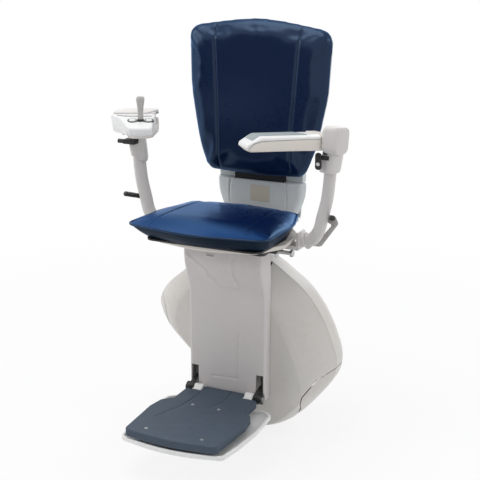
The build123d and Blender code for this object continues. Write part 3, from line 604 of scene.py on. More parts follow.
def loftFaces(ringCount, size, capStart=True, capEnd=True):
    faces = []
    for r in range(ringCount - 1):
        for i in range(size):
            j = (i + 1) % size
            faces.append((r * size + i, r * size + j, (r + 1) * size + j, (r + 1) * size + i))
    if capStart:
        faces.append(tuple(range(size)))
    if capEnd:
        faces.append(tuple((ringCount - 1) * size + i for i in range(size)))
    return faces


def ringStack(name, rings, look, body, slotName, replaced=(), sharp=35):
    points = [p for ring in rings for p in ring]
    return addPiece(name, points, loftFaces(len(rings), len(rings[0])), look, body, slotName, replaced,
                    sharp)


def rectangle(xs, ys, radius, steps):
    (x0, x1), (y0, y1) = xs, ys
    return roundedOutline([(x0, y0), (x1, y0), (x1, y1), (x0, y1)], radius, steps)


def scaledPlan(plan, across, along, middle):
    return [(a * across, middle + (b - middle) * along) for a, b in plan]


def heightOf(given, a, b):
    return given(a, b) if callable(given) else given


# a slab with rounded edges; low and high are heights or functions of the plan, place puts it in the frame
def slabRings(plan, low, high, edgeLow, edgeHigh, steps=4):
    rings = []
    for k in range(steps + 1):
        angle = k / steps * math.pi / 2
        ring = inset(plan, edgeLow * (1 - math.sin(angle)))
        rings.append([(a, b, heightOf(low, a, b) + edgeLow * (1 - math.cos(angle))) for a, b in ring])
    for k in range(steps, -1, -1):
        angle = k / steps * math.pi / 2
        ring = inset(plan, edgeHigh * (1 - math.sin(angle)))
        rings.append([(a, b, heightOf(high, a, b) - edgeHigh * (1 - math.cos(angle))) for a, b in ring])
    return rings


def slab(name, plan, low, high, edgeLow, edgeHigh, place, look, body, slotName, replaced=(), steps=4,
         sharp=35):
    rings = slabRings(np.asarray(plan, float), low, high, edgeLow, edgeHigh, steps)
    rings = [[place(*p) for p in ring] for ring in rings]
    return ringStack(name, rings, look, body, slotName, replaced, sharp)


def alongY(a, b, depth):
    return (a, depth, b)


def alongZ(a, b, depth):
    return (a, b, depth)


def smoothThrough(rows, count):
    rows = np.array(rows, float)
    gaps = np.sqrt(np.linalg.norm(np.diff(rows[:, :3], axis=0), axis=1))
    knots = np.concatenate([[0], np.cumsum(np.maximum(gaps, 1e-6))])
    slopes = np.gradient(rows, knots, axis=0)
    out = []
    for t in np.linspace(0, knots[-1], count):
        i = min(len(knots) - 2, int(np.searchsorted(knots, t, side="right")) - 1)
        span = knots[i + 1] - knots[i]
        u = (t - knots[i]) / span
        out.append((2 * u**3 - 3 * u**2 + 1) * rows[i] + (u**3 - 2 * u**2 + u) * span * slopes[i]
                   + (-2 * u**3 + 3 * u**2) * rows[i + 1] + (u**3 - u**2) * span * slopes[i + 1])
    return np.array(out)


# rings along a path of rows (x, y, z, half across the hint, half along it), with a squared-off section
def sweepRings(rows, count, hint, exponent=2.0, size=28):
    line = smoothThrough(rows, count) if count else np.array(rows, float)
    tangents = np.gradient(line[:, :3], axis=0)
    rings = []
    for row, tangent in zip(line, tangents):
        tangent = tangent / np.linalg.norm(tangent)
        across = np.cross(tangent, hint)
        across /= np.linalg.norm(across)
        up = np.cross(across, tangent)
        ring = []
        for k in range(size):
            angle = math.tau * k / size
            c, s = math.cos(angle), math.sin(angle)
            c = math.copysign(abs(c) ** (2 / exponent), c)
            s = math.copysign(abs(s) ** (2 / exponent), s)
            ring.append(row[:3] + across * c * row[3] + up * s * row[4])
        rings.append(ring)
    return rings


def sweep(name, rows, count, hint, look, body, slotName, replaced=(), exponent=2.0, size=28, sharp=35):
    rings = sweepRings(rows, count, np.array(hint, float), exponent, size)
    return ringStack(name, rings, look, body, slotName, replaced, sharp)


def joined(name, pieces):
    bm = bmesh.new()
    for piece in pieces:
        bm.from_mesh(piece.data)
    mesh = bpy.data.meshes.new(name)
    bm.to_mesh(mesh)
    bm.free()
    for piece in pieces:
        dropPiece(piece)
    whole = bpy.data.objects.new(name, mesh)
    bpy.context.scene.collection.objects.link(whole)
    return whole


# cushions

fabric = {"quality": 6, "mass": 0.3, "stretch": 18, "shear": 8, "bend": 3, "seamHalf": 3.2}


def simulateCushion(piece, pinTest, pressure, cap, frames=20):
    # pressure pushes the cover out; pinned points and the cap keep it to the pattern
    rest = np.array([v.co for v in piece.data.vertices])
    group = piece.vertex_groups.new(name="pinned")
    for i, point in enumerate(rest):
        weight = pinTest(point * 1000)
        if weight > 0:
            group.add([i], weight, "REPLACE")
    cloth = piece.modifiers.new("cloth", "CLOTH")
    settings = cloth.settings
    settings.quality = fabric["quality"]
    settings.mass = fabric["mass"]
    settings.tension_stiffness = fabric["stretch"]
    settings.compression_stiffness = fabric["stretch"]
    settings.shear_stiffness = fabric["shear"]
    settings.bending_stiffness = fabric["bend"]
    settings.use_pressure = True
    settings.uniform_pressure_force = pressure
    settings.effector_weights.gravity = 0
    settings.vertex_group_mass = "pinned"
    cloth.collision_settings.use_collision = False
    cloth.point_cache.frame_start = 1
    cloth.point_cache.frame_end = frames
    for number in range(1, frames + 1):
        bpy.context.scene.frame_set(number)
    graph = bpy.context.evaluated_depsgraph_get()
    moved = np.array([v.co for v in piece.evaluated_get(graph).data.vertices])
    piece.modifiers.clear()
    piece.vertex_groups.clear()
    bpy.context.scene.frame_set(1)
    shift = moved - rest
    length = np.linalg.norm(shift, axis=1, keepdims=True)
    limited = rest + shift * np.minimum(1, cap / 1000 / np.maximum(length, 1e-9))
    piece.data.vertices.foreach_set("co", limited.astype(np.float32).ravel())
    piece.data.update()


def remeshed(piece, voxel):
    remesh = piece.modifiers.new("remesh", "REMESH")
    remesh.mode = "VOXEL"
    remesh.voxel_size = voxel / 1000
    applyModifiers(piece)


def relaxed(piece, factor, times):
    smooth = piece.modifiers.new("smooth", "SMOOTH")
    smooth.factor = factor
    smooth.iterations = times
    applyModifiers(piece)


def subdivided(piece, levels):
    more = piece.modifiers.new("subdivide", "SUBSURF")
    more.levels = levels
    more.render_levels = levels
    applyModifiers(piece)


def storeAttribute(piece, name, values):
    attribute = piece.data.attributes.new(name, "FLOAT", "POINT")
    attribute.data.foreach_set("value", np.asarray(values, np.float32))


def smoothStep(x, low, high):
    t = np.clip((x - low) / (high - low), 0, 1)
    return t * t * (3 - 2 * t)


def bead(distance, height, half):
    return height * np.exp(-(distance / half) ** 2)


def dome(a, b, middle, reach):
    # 1 in the middle, falling to 0 at the reach along either axis
    over = np.clip(1 - ((a - middle[0]) / reach[0]) ** 2, 0, 1)
    return over * np.clip(1 - ((b - middle[1]) / reach[1]) ** 2, 0, 1)


backrest = {
    "corners": [(-199, 807), (0, 838), (199, 807), (192, 645), (167, 515),
                (136, 442), (0, 436), (-136, 442), (-167, 515), (-192, 645)],
    "radii": [36, 500, 36, 250, 250, 30, 500, 30, 250, 250],
    "frontY": -100.0,
    "bottomZ": 439.0,
    "thickness": 34.0,
    "recline": 3.5,
    "voxel": 5.0,
    "pressure": 4.0,
    "cap": 7.0,
    "seams": [(436, 98), (525, 100), (645, 107), (745, 113), (838, 120)],   # height, half width
    "seamDepth": 2.6,
    "hollow": 5.0,
    "dish": ((0, 625), (150, 190)),   # middle and reach, across and up
    "sag": 6.0,
    "edges": (13, 2),
    "shellShare": (0.97, 0.975),
}


def reclined(x, y, z):
    turn = math.radians(backrest["recline"])
    dy, dz = y - backrest["frontY"], z - backrest["bottomZ"]
    return (x, backrest["frontY"] + dy * math.cos(turn) + dz * math.sin(turn),
            backrest["bottomZ"] + dz * math.cos(turn) - dy * math.sin(turn))


def meshPoints(piece):
    return np.array([v.co for v in piece.data.vertices]) * 1000


def setPoints(piece, points):
    piece.data.vertices.foreach_set("co", (np.asarray(points) / 1000).astype(np.float32).ravel())
    piece.data.update()


def makeBackrest():
    b = backrest
    plan = inset(roundedOutline(b["corners"], b["radii"], 10), 1.5)
    y = b["frontY"]
    rings = slabRings(plan, y + 5, y + b["thickness"] - 0.3, *b["edges"], 6)
    rings = [[(a, depth, c) for a, c, depth in ring] for ring in rings]
    piece = ringStack("backrestCushion", rings, "navyVinyl", None, None)
    remeshed(piece, b["voxel"])
    relaxed(piece, 0.5, 3)
    rear = b["frontY"] + b["thickness"] - 9
    simulateCushion(piece, lambda p: 1.0 if p[1] > rear else 0.0, b["pressure"], b["cap"])
    relaxed(piece, 0.5, 10)
    subdivided(piece, 1)
    p = meshPoints(piece)
    heights, halves = zip(*b["seams"])
    seamX = np.interp(p[:, 2], heights, halves)
    across = np.abs(p[:, 0]) - seamX
    front = smoothStep(-(p[:, 1] - (b["frontY"] + 20)), 0, 12)
    top = smoothStep(p[:, 1], b["frontY"] + 20, b["frontY"] + 30)
    groove = bead(across, b["seamDepth"], fabric["seamHalf"]) * front
    # the middle is dished a little, and the side panels stand proud of it
    dish = b["hollow"] * dome(p[:, 0], p[:, 2], *b["dish"])
    p[:, 1] += groove + dish * front
    p[:, 2] -= b["sag"] * (1 - smoothStep(p[:, 2], b["bottomZ"], b["bottomZ"] + 100))
    setPoints(piece, np.array([reclined(*q) for q in p]))
    storeAttribute(piece, "seamAcross", np.where(top > 0.99, 0.05, across / 1000))
    storeAttribute(piece, "seamAlong", p[:, 2] / 1000)
    shadeByAngle(piece, 80)
    dress(piece, "navyVinyl", "seat_frame", "navy_vinyl", ["backrest_cushion"])


makeBackrest()
print("backrest cushion made")

seat = {
    "frontY": -458.0, "rearY": -116.0, "half": 184.0,
    "bottomZ": 326.0, "rimZ": 341.0, "edgeZ": 367.0, "crown": 9.0, "rake": 1.8,
    "voxel": 5.0, "pressure": 4.0, "cap": 8.0,
    "seams": [(-458, 128), (-400, 122), (-300, 112), (-200, 104), (-116, 100)],   # y, half width
    "fullness": 5.0, "dome": ((0, -285), (182, 175)),
    "seamDepth": 2.4, "piping": 2.6, "rollStart": 345.0, "rollEnd": 450.0, "rollShare": 0.72,
}


def seatOutline(inward, steps=8):
    half = seat["half"] - inward / 2
    front = seat["frontY"] + inward
    rear = seat["rearY"] - inward / 2
    corners = [(-half, front + 34), (0, front), (half, front + 34), (half - 3, -250), (144, rear - 20),
               (0, rear + 4), (-144, rear - 20), (3 - half, -250)]
    return roundedOutline(corners, [34, 300, 34, 200, 34, 200, 34, 200], steps)


def raked(z):
    fall = math.tan(math.radians(seat["rake"]))
    return lambda x, y: z - (y - seat["frontY"]) * fall


def seatRing(z, inward, tilted):
    height = raked(z) if tilted else (lambda x, y: z)
    return [(x, y, height(x, y)) for x, y in seatOutline(inward)]


def makeSeat():
    s = seat
    # from the base up to the crown: height, inset, whether it follows the rake
    rings = [seatRing(s["bottomZ"] + 0.4, 46, False), seatRing(s["rimZ"], 27, False),
             seatRing(s["rimZ"] + 3, 23, False), seatRing(s["edgeZ"] - 3, 2.5, True),
             seatRing(s["edgeZ"], 1.5, True), seatRing(s["edgeZ"] + 3, 3, True),
             seatRing(s["edgeZ"] + s["crown"] - 3, 12, True), seatRing(s["edgeZ"] + s["crown"], 34, True)]
    piece = ringStack("seatCushion", rings, "navyVinyl", None, None)
    remeshed(piece, s["voxel"])
    relaxed(piece, 0.5, 2)
    fall = raked(s["edgeZ"])
    simulateCushion(piece, lambda p: 1.0 if p[2] < fall(p[0], p[1]) + 1.5 else 0.0, s["pressure"],
                    s["cap"])
    relaxed(piece, 0.5, 4)
    subdivided(piece, 1)
    p = meshPoints(piece)
    ys, halves = zip(*s["seams"])
    across = np.abs(p[:, 0]) - np.interp(p[:, 1], ys, halves)
    rise = p[:, 2] - np.array([fall(a, b) for a, b, c in p])
    topSide = smoothStep(rise, 1.0, 6.0)
    p[:, 2] -= bead(across, s["seamDepth"], fabric["seamHalf"]) * topSide
    # the top is full in the middle and rolls down over its front
    p[:, 2] += s["fullness"] * dome(p[:, 0], p[:, 1], *s["dome"]) * topSide
    rolled = smoothStep(-p[:, 1], s["rollStart"], s["rollEnd"]) * s["rollShare"]
    above = p[:, 2] - np.array([fall(a, b) for a, b, c in p])
    p[:, 2] -= np.clip(above - 1.0, 0, None) * rolled
    setPoints(piece, p)
    # the band below the piping gets its painted shade here
    storeAttribute(piece, "bandPaintedShade", smoothStep(-rise, 0.5, 2.5))
    # the front of the seat's top: duller from wear, and paler by a painted highlight
    forward = smoothStep(-p[:, 1] - 0.12 * p[:, 0], s["rollStart"] + 8, s["rollEnd"] - 50)
    storeAttribute(piece, "wearAndHighlight", forward * smoothStep(rise, 0.0, 4.0))
    storeAttribute(piece, "seamAcross", np.where(rise < 1.0, 0.05, across / 1000))
    storeAttribute(piece, "seamAlong", p[:, 1] / 1000)
    shadeByAngle(piece, 80)
    dress(piece, "navyVinyl", "seat_frame", "navy_vinyl", ["seat_cushion"])
    # a round piping is sewn in where the top meets the band
    loop = seatRing(s["edgeZ"] + 0.5, 0.5, True)
    size = 10
    points, faces = [], []
    count = len(loop)
    for i in range(count):
        here = np.array(loop[i])
        tangent = np.array(loop[(i + 1) % count]) - np.array(loop[i - 1])
        tangent /= np.linalg.norm(tangent)
        side = np.cross(tangent, (0, 0, 1.0))
        side /= np.linalg.norm(side)
        up = np.cross(side, tangent)
        for k in range(size):
            angle = math.tau * k / size
            points.append(here + s["piping"] * (side * math.cos(angle) + up * math.sin(angle)))
            j, m = (i + 1) % count, (k + 1) % size
            faces.append((i * size + k, i * size + m, j * size + m, j * size + k))
    piping = addPiece("seatPiping", points, faces, "navyVinyl", "seat_frame", "navy_vinyl", sharp=80)
    storeAttribute(piping, "seamAcross", np.full(len(piping.data.vertices), 0.05))


makeSeat()
print("seat cushion made")

# housing

housing = {
    "centre": (20.0, 30.0),
    "rim": [(0, 256), [(70, 236), (120, 204), (172, 165), (225, 93)], (262, 0),
            [(259, -42), (240, -78), (190, -142), (135, -193)], (88, -214), (56, -207), (-228, 40),
            [(-243, 80), (-222, 127), (-173, 172), (-95, 232)]],
    "front": [(0, 222), [(62, 196), (105, 132), (138, 72), (166, 12)], (184, -42),
              [(193, -78), (186, -112), (156, -150), (120, -180)], (82, -195), (54, -188), (-158, 22),
              [(-168, 62), (-152, 112), (-112, 160), (-62, 200)]],
    "frontY": -217.0, "seamY": -152.0, "rimY": -112.0, "rearY": -54.0, "rearInset": 25.0,
    "legX": (-84, 84), "legZ": (100, 232),
    "wall": 3.5, "seamGap": 1.8, "lip": 1.2, "crease": 3.0,
    "rightSeam": [(320, -12), (272, -20), (224, -52), (192, -98), (180, -138), (146, -190), (190, -260),
                  (330, -220)],
    "leftSeam": [(-300, 118), (-236, 110), (-206, 84), (-192, 40), (-196, -30), (-300, -30)],
    "coverGap": 2.6,
}


def splinePoints(knots, count):
    rows = [(x, 0, z) for x, z in knots]
    return smoothThrough(rows, count)[:-1, ::2]


def housingOutline(corners):
    top, topRight, right, lowerRight, bottom, corner, left, upperLeft = corners
    parts = [splinePoints([top, *topRight, right], 37), splinePoints([right, *lowerRight, bottom], 33),
             np.linspace(bottom, corner, 6)[:-1], np.linspace(corner, left, 25)[:-1],
             splinePoints([left, *upperLeft, top], 37)]
    outline = np.concatenate(parts)
    for _ in range(3):   # takes the points off the corners
        outline = (np.roll(outline, 1, 0) + 2 * outline + np.roll(outline, -1, 0)) / 4
    return outline


def shrunk(outline, distance):
    centre = np.array(housing["centre"])
    away = outline - centre
    length = np.linalg.norm(away, axis=1, keepdims=True)
    return centre + away * (1 - distance / length)


def housingRing(share, y, inward):
    ring = shrunk(rimOutline * share + frontOutline * (1 - share), inward)
    return [(x, y, z) for x, z in ring]


rimOutline = housingOutline(housing["rim"])
frontOutline = housingOutline(housing["front"])


def flank(t):
    # how the side leaves the front face and turns into the rim: share of the widening, share of the depth
    return 2 * t * (1 - t) * 0.6 + t * t, 2 * t * (1 - t) * 0.26 + t * t


def frontRings(inward):
    h = housing
    depth = h["seamY"] - h["seamGap"] - h["frontY"]
    y0 = h["frontY"] + inward
    rings = [housingRing(0, y0, inward + h["crease"] * 2),
             housingRing(0, y0 + 0.25, inward + h["crease"] * 0.7)]
    for t in np.linspace(0, 1, 15):
        share, along = flank(t)
        if t == 0:
            share, along = 0.0, 0.012
        rings.append(housingRing(share, y0 + along * (depth - inward), inward))
    return rings


def housingFrontSolid(name):
    outer = frontRings(0)
    inner = frontRings(housing["wall"])
    # outer skin, rolled lip, inner skin
    lipY = housing["seamY"] - housing["seamGap"]
    rings = outer[:-1] + [housingRing(1, lipY - housing["lip"], 0), housingRing(1, lipY, housing["lip"]),
                          housingRing(1, lipY, housing["wall"])] + inner[::-1][1:]
    return ringStack(name, rings, "shellWhite", None, None, sharp=180)


def housingRearSolid(name):
    h = housing
    y0, lip, wall = h["seamY"], h["lip"], h["wall"]
    profile = [(y0, lip), (y0 + lip, 0), (y0 + 14, 0), (h["rimY"] - 8, 0), (h["rimY"], 0.4),
               (h["rimY"] + 10, 2.4)]
    reach = h["rearY"] - h["rimY"]
    for t in np.linspace(0.25, 1, 7):
        profile.append((h["rimY"] + reach * t, 0.4 + (h["rearInset"] - 0.4) * t ** 1.35))
    inner = [(y, d + wall) for y, d in profile[::-1]]
    inner[-1] = (y0, wall)
    rings = [housingRing(1, y, d) for y, d in profile + inner]
    points = [p for ring in rings for p in ring]
    faces = loftFaces(len(rings), len(rings[0]), False, False)
    size = len(rings[0])
    last = (len(rings) - 1) * size
    faces += [(i, (i + 1) % size, last + (i + 1) % size, last + i) for i in range(size)]
    return addPiece(name, points, faces, "shellWhite", None, None, sharp=180)


def seamPrism(seam, shift, name):
    plan = roundedOutline([(x + shift, z) for x, z in seam], 4, 4)
    rings = [[(x, y, z) for x, z in plan] for y in (housing["frontY"] - 8, housing["rearY"] + 8)]
    return ringStack(name, rings, "shellWhite", None, None)


boxFaces = [(0, 1, 3, 2), (4, 6, 7, 5), (0, 4, 5, 1), (2, 3, 7, 6), (0, 2, 6, 4), (1, 5, 7, 3)]


def boxPiece(name, xs, ys, zs):
    points = [(x, y, z) for x in xs for y in ys for z in zs]
    return addPiece(name, points, boxFaces, "shellWhite", None, None)


def copyPiece(piece, name):
    twin = bpy.data.objects.new(name, piece.data.copy())
    bpy.context.scene.collection.objects.link(twin)
    return twin


def makeHousing():
    h = housing
    front = housingFrontSolid("housingFront")
    rear = housingRearSolid("housingShell")
    legOpening = boxPiece("legOpening", h["legX"], (h["frontY"] - 4, h["seamY"] + 1), h["legZ"])
    carveAway(front, legOpening)
    covers = []
    for seam, gap, side, body in ((h["rightSeam"], h["coverGap"], "Left", "cover_left"),
                                  (h["leftSeam"], -h["coverGap"], "Right", "cover_right")):
        inside = seamPrism(seam, gap, "inside")
        outside = seamPrism(seam, 0, "outside")
        parts = []
        for shell in (front, rear):
            part = copyPiece(shell, "part")
            carve(part, inside, "INTERSECT")
            carve(shell, outside)
            parts.append(part)
        cover = joined(f"safetyCover{side}", parts)
        covers.append(cover)
        node = "safety_cover_left" if side == "Left" else "safety_cover_right"
        dress(cover, "shellWhite", body, "shell_white", [node])
        dropPiece(inside)
        dropPiece(outside)
    for piece in (front, rear, *covers):
        shadeByAngle(piece, 40)
    dress(front, "shellWhite", "carriage", "shell_white", ["housing_front"])
    dress(rear, "shellWhite", "carriage", "shell_white", ["housing_shell"])


makeHousing()
print("housing made")


# a profile drawn in the plane of x and z, carried across from -half to +half with rounded edges
def banded(name, profile, half, edge, shape, look, body, slotName, replaced=(), stations=7, sharp=35):
    profile = np.asarray(profile, float)
    steps = [k / 3 * math.pi / 2 for k in range(4)]
    ends = [(-half + edge * (1 - math.cos(a)), edge * (1 - math.sin(a))) for a in steps]
    middle = [(y, 0.0) for y in np.linspace(-half + edge, half - edge, stations + 2)[1:-1]]
    across = ends + middle + [(-y, d) for y, d in ends[::-1]]
    rings = []
    for y, drawn in across:
        rings.append([shape(x, y, z) for x, z in inset(profile, drawn)])
    return ringStack(name, rings, look, body, slotName, replaced, sharp)


def unite(piece, others):
    for other in others:
        carve(piece, other, "UNION")
        dropPiece(other)
    return piece



# screws

screw = {"radius": 4.4, "height": 2.2, "socket": 2.1, "depth": 1.3, "sides": 12}


def screwMaster():
    s = screw
    rows = [(s["radius"], 0), (s["radius"], s["height"] * 0.6), (s["radius"] * 0.86, s["height"]),
            (s["socket"], s["height"]), (s["socket"] * 0.9, s["height"] - s["depth"])]
    points, faces, n = [], [], s["sides"]
    for radius, z in rows:
        for k in range(n):
            angle = math.tau * k / n
            points.append((radius * math.cos(angle) / 1000, radius * math.sin(angle) / 1000, z / 1000))
    for r in range(len(rows) - 1):
        faces += [(r * n + k, r * n + (k + 1) % n, (r + 1) * n + (k + 1) % n, (r + 1) * n + k)
                  for k in range(n)]
    faces += [tuple(range(n))[::-1], tuple((len(rows) - 1) * n + k for k in range(n))]
    mesh = bpy.data.meshes.new("screwMaster")
    mesh.from_pydata(points, [], faces)
    return bpy.data.objects.new("screwMaster", mesh)


def buildScrewGroup():
    group = bpy.data.node_groups.new("screwSet", "GeometryNodeTree")
    for label, kind in (("Places", "NodeSocketGeometry"), ("Screw", "NodeSocketObject"),
                        ("Turn Seed", "NodeSocketInt"), ("Finish", "NodeSocketMaterial")):
        group.interface.new_socket(name=label, in_out="INPUT", socket_type=kind)
    group.interface.new_socket(name="Geometry", in_out="OUTPUT", socket_type="NodeSocketGeometry")
    nodes, links = group.nodes, group.links
    start, end = nodes.new("NodeGroupInput"), nodes.new("NodeGroupOutput")
    item = nodes.new("GeometryNodeObjectInfo")
    links.new(start.outputs["Screw"], item.inputs["Object"])
    facing = nodes.new("GeometryNodeInputNamedAttribute")
    facing.data_type = "FLOAT_VECTOR"
    facing.inputs["Name"].default_value = "facing"
    aligned = nodes.new("FunctionNodeAlignRotationToVector")
    aligned.axis = "Z"
    links.new(facing.outputs["Attribute"], aligned.inputs["Vector"])
    spin = nodes.new("FunctionNodeRandomValue")
    spin.data_type = "FLOAT"
    spin.inputs[3].default_value = math.tau
    links.new(start.outputs["Turn Seed"], spin.inputs["Seed"])
    angle = nodes.new("FunctionNodeAxisAngleToRotation")
    angle.inputs["Axis"].default_value = (0, 0, 1)
    links.new(spin.outputs[1], angle.inputs["Angle"])
    turned = nodes.new("FunctionNodeRotateRotation")
    turned.rotation_space = "LOCAL"
    links.new(aligned.outputs["Rotation"], turned.inputs["Rotation"])
    links.new(angle.outputs["Rotation"], turned.inputs["Rotate By"])
    place = nodes.new("GeometryNodeInstanceOnPoints")
    links.new(start.outputs["Places"], place.inputs["Points"])
    links.new(item.outputs["Geometry"], place.inputs["Instance"])
    links.new(turned.outputs["Rotation"], place.inputs["Rotation"])
    real = nodes.new("GeometryNodeRealizeInstances")
    paint = nodes.new("GeometryNodeSetMaterial")
    links.new(place.outputs["Instances"], real.inputs["Geometry"])
    links.new(real.outputs["Geometry"], paint.inputs["Geometry"])
    links.new(start.outputs["Finish"], paint.inputs["Material"])
    links.new(paint.outputs["Geometry"], end.inputs["Geometry"])
    return group


screwGroup = buildScrewGroup()
master = screwMaster()


def addScrews(name, places, look, body, slotName, seed):
    # places: (x, y, z, facing vector) in millimetres
    mesh = bpy.data.meshes.new(name + "Places")
    mesh.from_pydata([tuple(c / 1000 for c in p[:3]) for p in places], [], [])
    facing = mesh.attributes.new("facing", "FLOAT_VECTOR", "POINT")
    facing.data.foreach_set("vector", [c for p in places for c in Vector(p[3]).normalized()])
    holder = bpy.data.objects.new(name, mesh)
    bpy.context.scene.collection.objects.link(holder)
    modifier = holder.modifiers.new("screws", "NODES")
    modifier.node_group = screwGroup
    keys = {item.name: item.identifier for item in screwGroup.interface.items_tree if item.in_out == "INPUT"}
    modifier[keys["Screw"]] = master
    modifier[keys["Turn Seed"]] = seed
    modifier[keys["Finish"]] = finish(look)
    applyModifiers(holder)
    shadeByAngle(holder, 40)
    dress(holder, look, body, slotName)


# arms

arm = {
    "origin": (234.0, -224.0, 551.0), "toe": 25.5, "tilt": 6.5, "half": 29.5,
    "postHalf": (16.2, 11.8), "postSquare": 2.2,
    # centre of the post: x, z
    "post": [(196, 321), (210, 322), (222, 329), (230, 341), (236, 356), (241.5, 381), (247, 402),
             (252, 424), (255.5, 450), (260, 498), (265, 540)],
    "postY": -222.0,
    # centre x, z, half outward, half forward
    "sleeve": [(257, 484, 19.5, 18.5), (257.3, 486, 21.3, 20.3), (258.5, 496, 21.8, 20.8),
               (262, 520, 22, 21), (266, 546, 20, 20), (267, 552, 14, 15)],
    # how the sleeve's lower edge stands on each side: lift and slope across
    "step": {1: (11, 0.15), -1: (0, 0.6)},
    # zone that the turning armrest sweeps, in the arm's own frame
    "swept": ((-45, 60), (-60, 30.6), (-7, 60)),
    "knuckle": [(-31, -7), (31, -8), (33, 57), (-29, 58)], "knuckleRadii": [16, 20, 13, 15],
    "knuckleHalf": 16.4, "knuckleY": 47.2, "knuckleDraw": 0.6,
    "lower": [(-20.5, -4.5), (120, -3.6), (236, -4.0), (247, 3.2), (233, 16.2), (208, 21.8), (100, 24.2),
              (27, 25), (27, 36.2), (-20.5, 36.5)],
    "lowerRadii": [20, 300, 12, 1.5, 20, 40, 200, 1, 4, 20],
    "upper": [(28, 25.9), (100, 25.1), (208.5, 22.7), (233.8, 17.2), (248.4, 4.2), (251, 8), (249, 15),
              (213, 34.3), (28, 36)],
    "upperRadii": [1, 200, 40, 20, 1.5, 2.5, 6, 25, 3],
    "noseCut": 22.0, "noseZone": (175, 248), "crownFall": 5.0, "crownStart": 12.0, "crownWidth": 17.5,
    # heights between which the upper and the lower face fall, on the armrest and on its pad
    "bodyFall": ((60, 70), (-4, 9)), "padFall": ((24, 33), (-30, -20)),
    # side of the grey inlay: along, height; its rear edge runs slanting outwards
    "inlay": [(66, 30), (200, 29), (229, 18), (234.5, 23.6), (232, 25.1), (219, 32), (213, 34.3),
              (206, 35.3), (150, 35.9), (100, 36.3), (66, 36.6)],
    "inlayHalf": 20.0, "inlaySlant": 0.45,
}


def armPlace(side):
    # in the arm's own frame x runs forward, y outward and z up
    toe, tilt = math.radians(arm["toe"]), math.radians(arm["tilt"])
    forward = np.array((-math.sin(toe) * math.cos(tilt), -math.cos(toe) * math.cos(tilt), math.sin(tilt)))
    outward = np.array((math.cos(toe), -math.sin(toe), 0))
    up = np.cross(forward, outward)
    origin = np.array(arm["origin"])

    def place(x, y, z):
        return (origin + forward * x + outward * y + up * z) * (side, 1, 1)

    return place


def softened(y, z, top, bottom):
    # the upper and lower faces fall away towards both sides
    t = min(1, max(0, (abs(y) - arm["crownStart"]) / arm["crownWidth"])) ** 2 * arm["crownFall"]
    return z - t * float(smoothStep(z, *top)) + t * float(1 - smoothStep(z, *bottom)) * 0.8


def noseShift(x, y):
    return arm["noseCut"] * float(smoothStep(x, *arm["noseZone"])) * (arm["half"] - y) / (2 * arm["half"])


def makePost(side, word):
    a = arm
    toe = math.radians(a["toe"])
    hint = (-side * math.sin(toe), -math.cos(toe), 0)
    rows = [(side * x, a["postY"], z, *a["postHalf"]) for x, z in a["post"]]
    sweep(f"armPost{word}", rows, 60, hint, "armPaint", "seat_frame", "arm_paint",
          [f"arm_tube_{word.lower()}"], a["postSquare"], 36, 50)
    rows = [(side * x, a["postY"], z, outward, forward) for x, z, outward, forward in a["sleeve"]]
    rings = sweepRings(rows, 30, np.array(hint), 3.2, 40)
    lift, slope = a["step"][side]
    for k, ring in enumerate(rings[:12]):
        fade = 1 - k / 12
        for point in ring:
            point[2] += (lift + (side * point[0] - a["sleeve"][0][0]) * slope) * fade
    sleeve = ringStack(f"armSleeve{word}", rings, "armPaint", None, None)
    place = armPlace(side)
    swept = boxPiece("swept", *a["swept"])
    setPoints(swept, [place(*p) for p in meshPoints(swept)])
    if side < 0:
        swept.data.flip_normals()
    carveAway(sleeve, swept)

    def knuckleShape(x, y, z):
        # the front corner draws back towards the outer face
        half = a["knuckleHalf"]
        drawn = max(0, x) * a["knuckleDraw"] * (y + half) / (2 * half)
        return place(x - drawn, y + a["knuckleY"], z)

    block = banded("knuckle", roundedOutline(a["knuckle"], a["knuckleRadii"], 7), a["knuckleHalf"], 5,
                   knuckleShape, "armPaint", None, None)
    unite(sleeve, [block])
    shadeByAngle(sleeve, 45)
    dress(sleeve, "armPaint", "seat_frame", "arm_paint", [f"arm_sleeve_{word.lower()}"])


def makeLeftArmrest():
    a = arm
    place = armPlace(1)

    def lowerShape(x, y, z):
        return place(x - noseShift(x, y), y, softened(y, z, *arm["bodyFall"]))

    def upperShape(x, y, z):
        return place(x - noseShift(x, y), y, softened(y, z, *arm["padFall"]))

    banded("armrestLeft", roundedOutline(a["lower"], a["lowerRadii"], 6), a["half"], 1.6, lowerShape,
           "armBeige", "arm_left", "shell_white", ["armrest_left"], 9, 30)
    # the pad is whiter than the beige body below it: partly painted light on its top
    banded("armPadLeft", roundedOutline(a["upper"], a["upperRadii"], 6), a["half"] + 0.4, 1.6, upperShape,
           "armWhite", "arm_left", "shell_white", ["armrest_pad_left"], 11, 30)

    def inlayShape(x, y, z):
        slant = (a["inlayHalf"] - y) * a["inlaySlant"] * float(1 - smoothStep(x, 70, 150))
        return place(x + slant - noseShift(x, y), y, softened(y, z, *arm["padFall"]))

    banded("armInlayLeft", a["inlay"], a["inlayHalf"], 0.5, inlayShape, "greySoft", "arm_left", "grey_soft",
           ["armrest_inlay_left"], 9, 40)


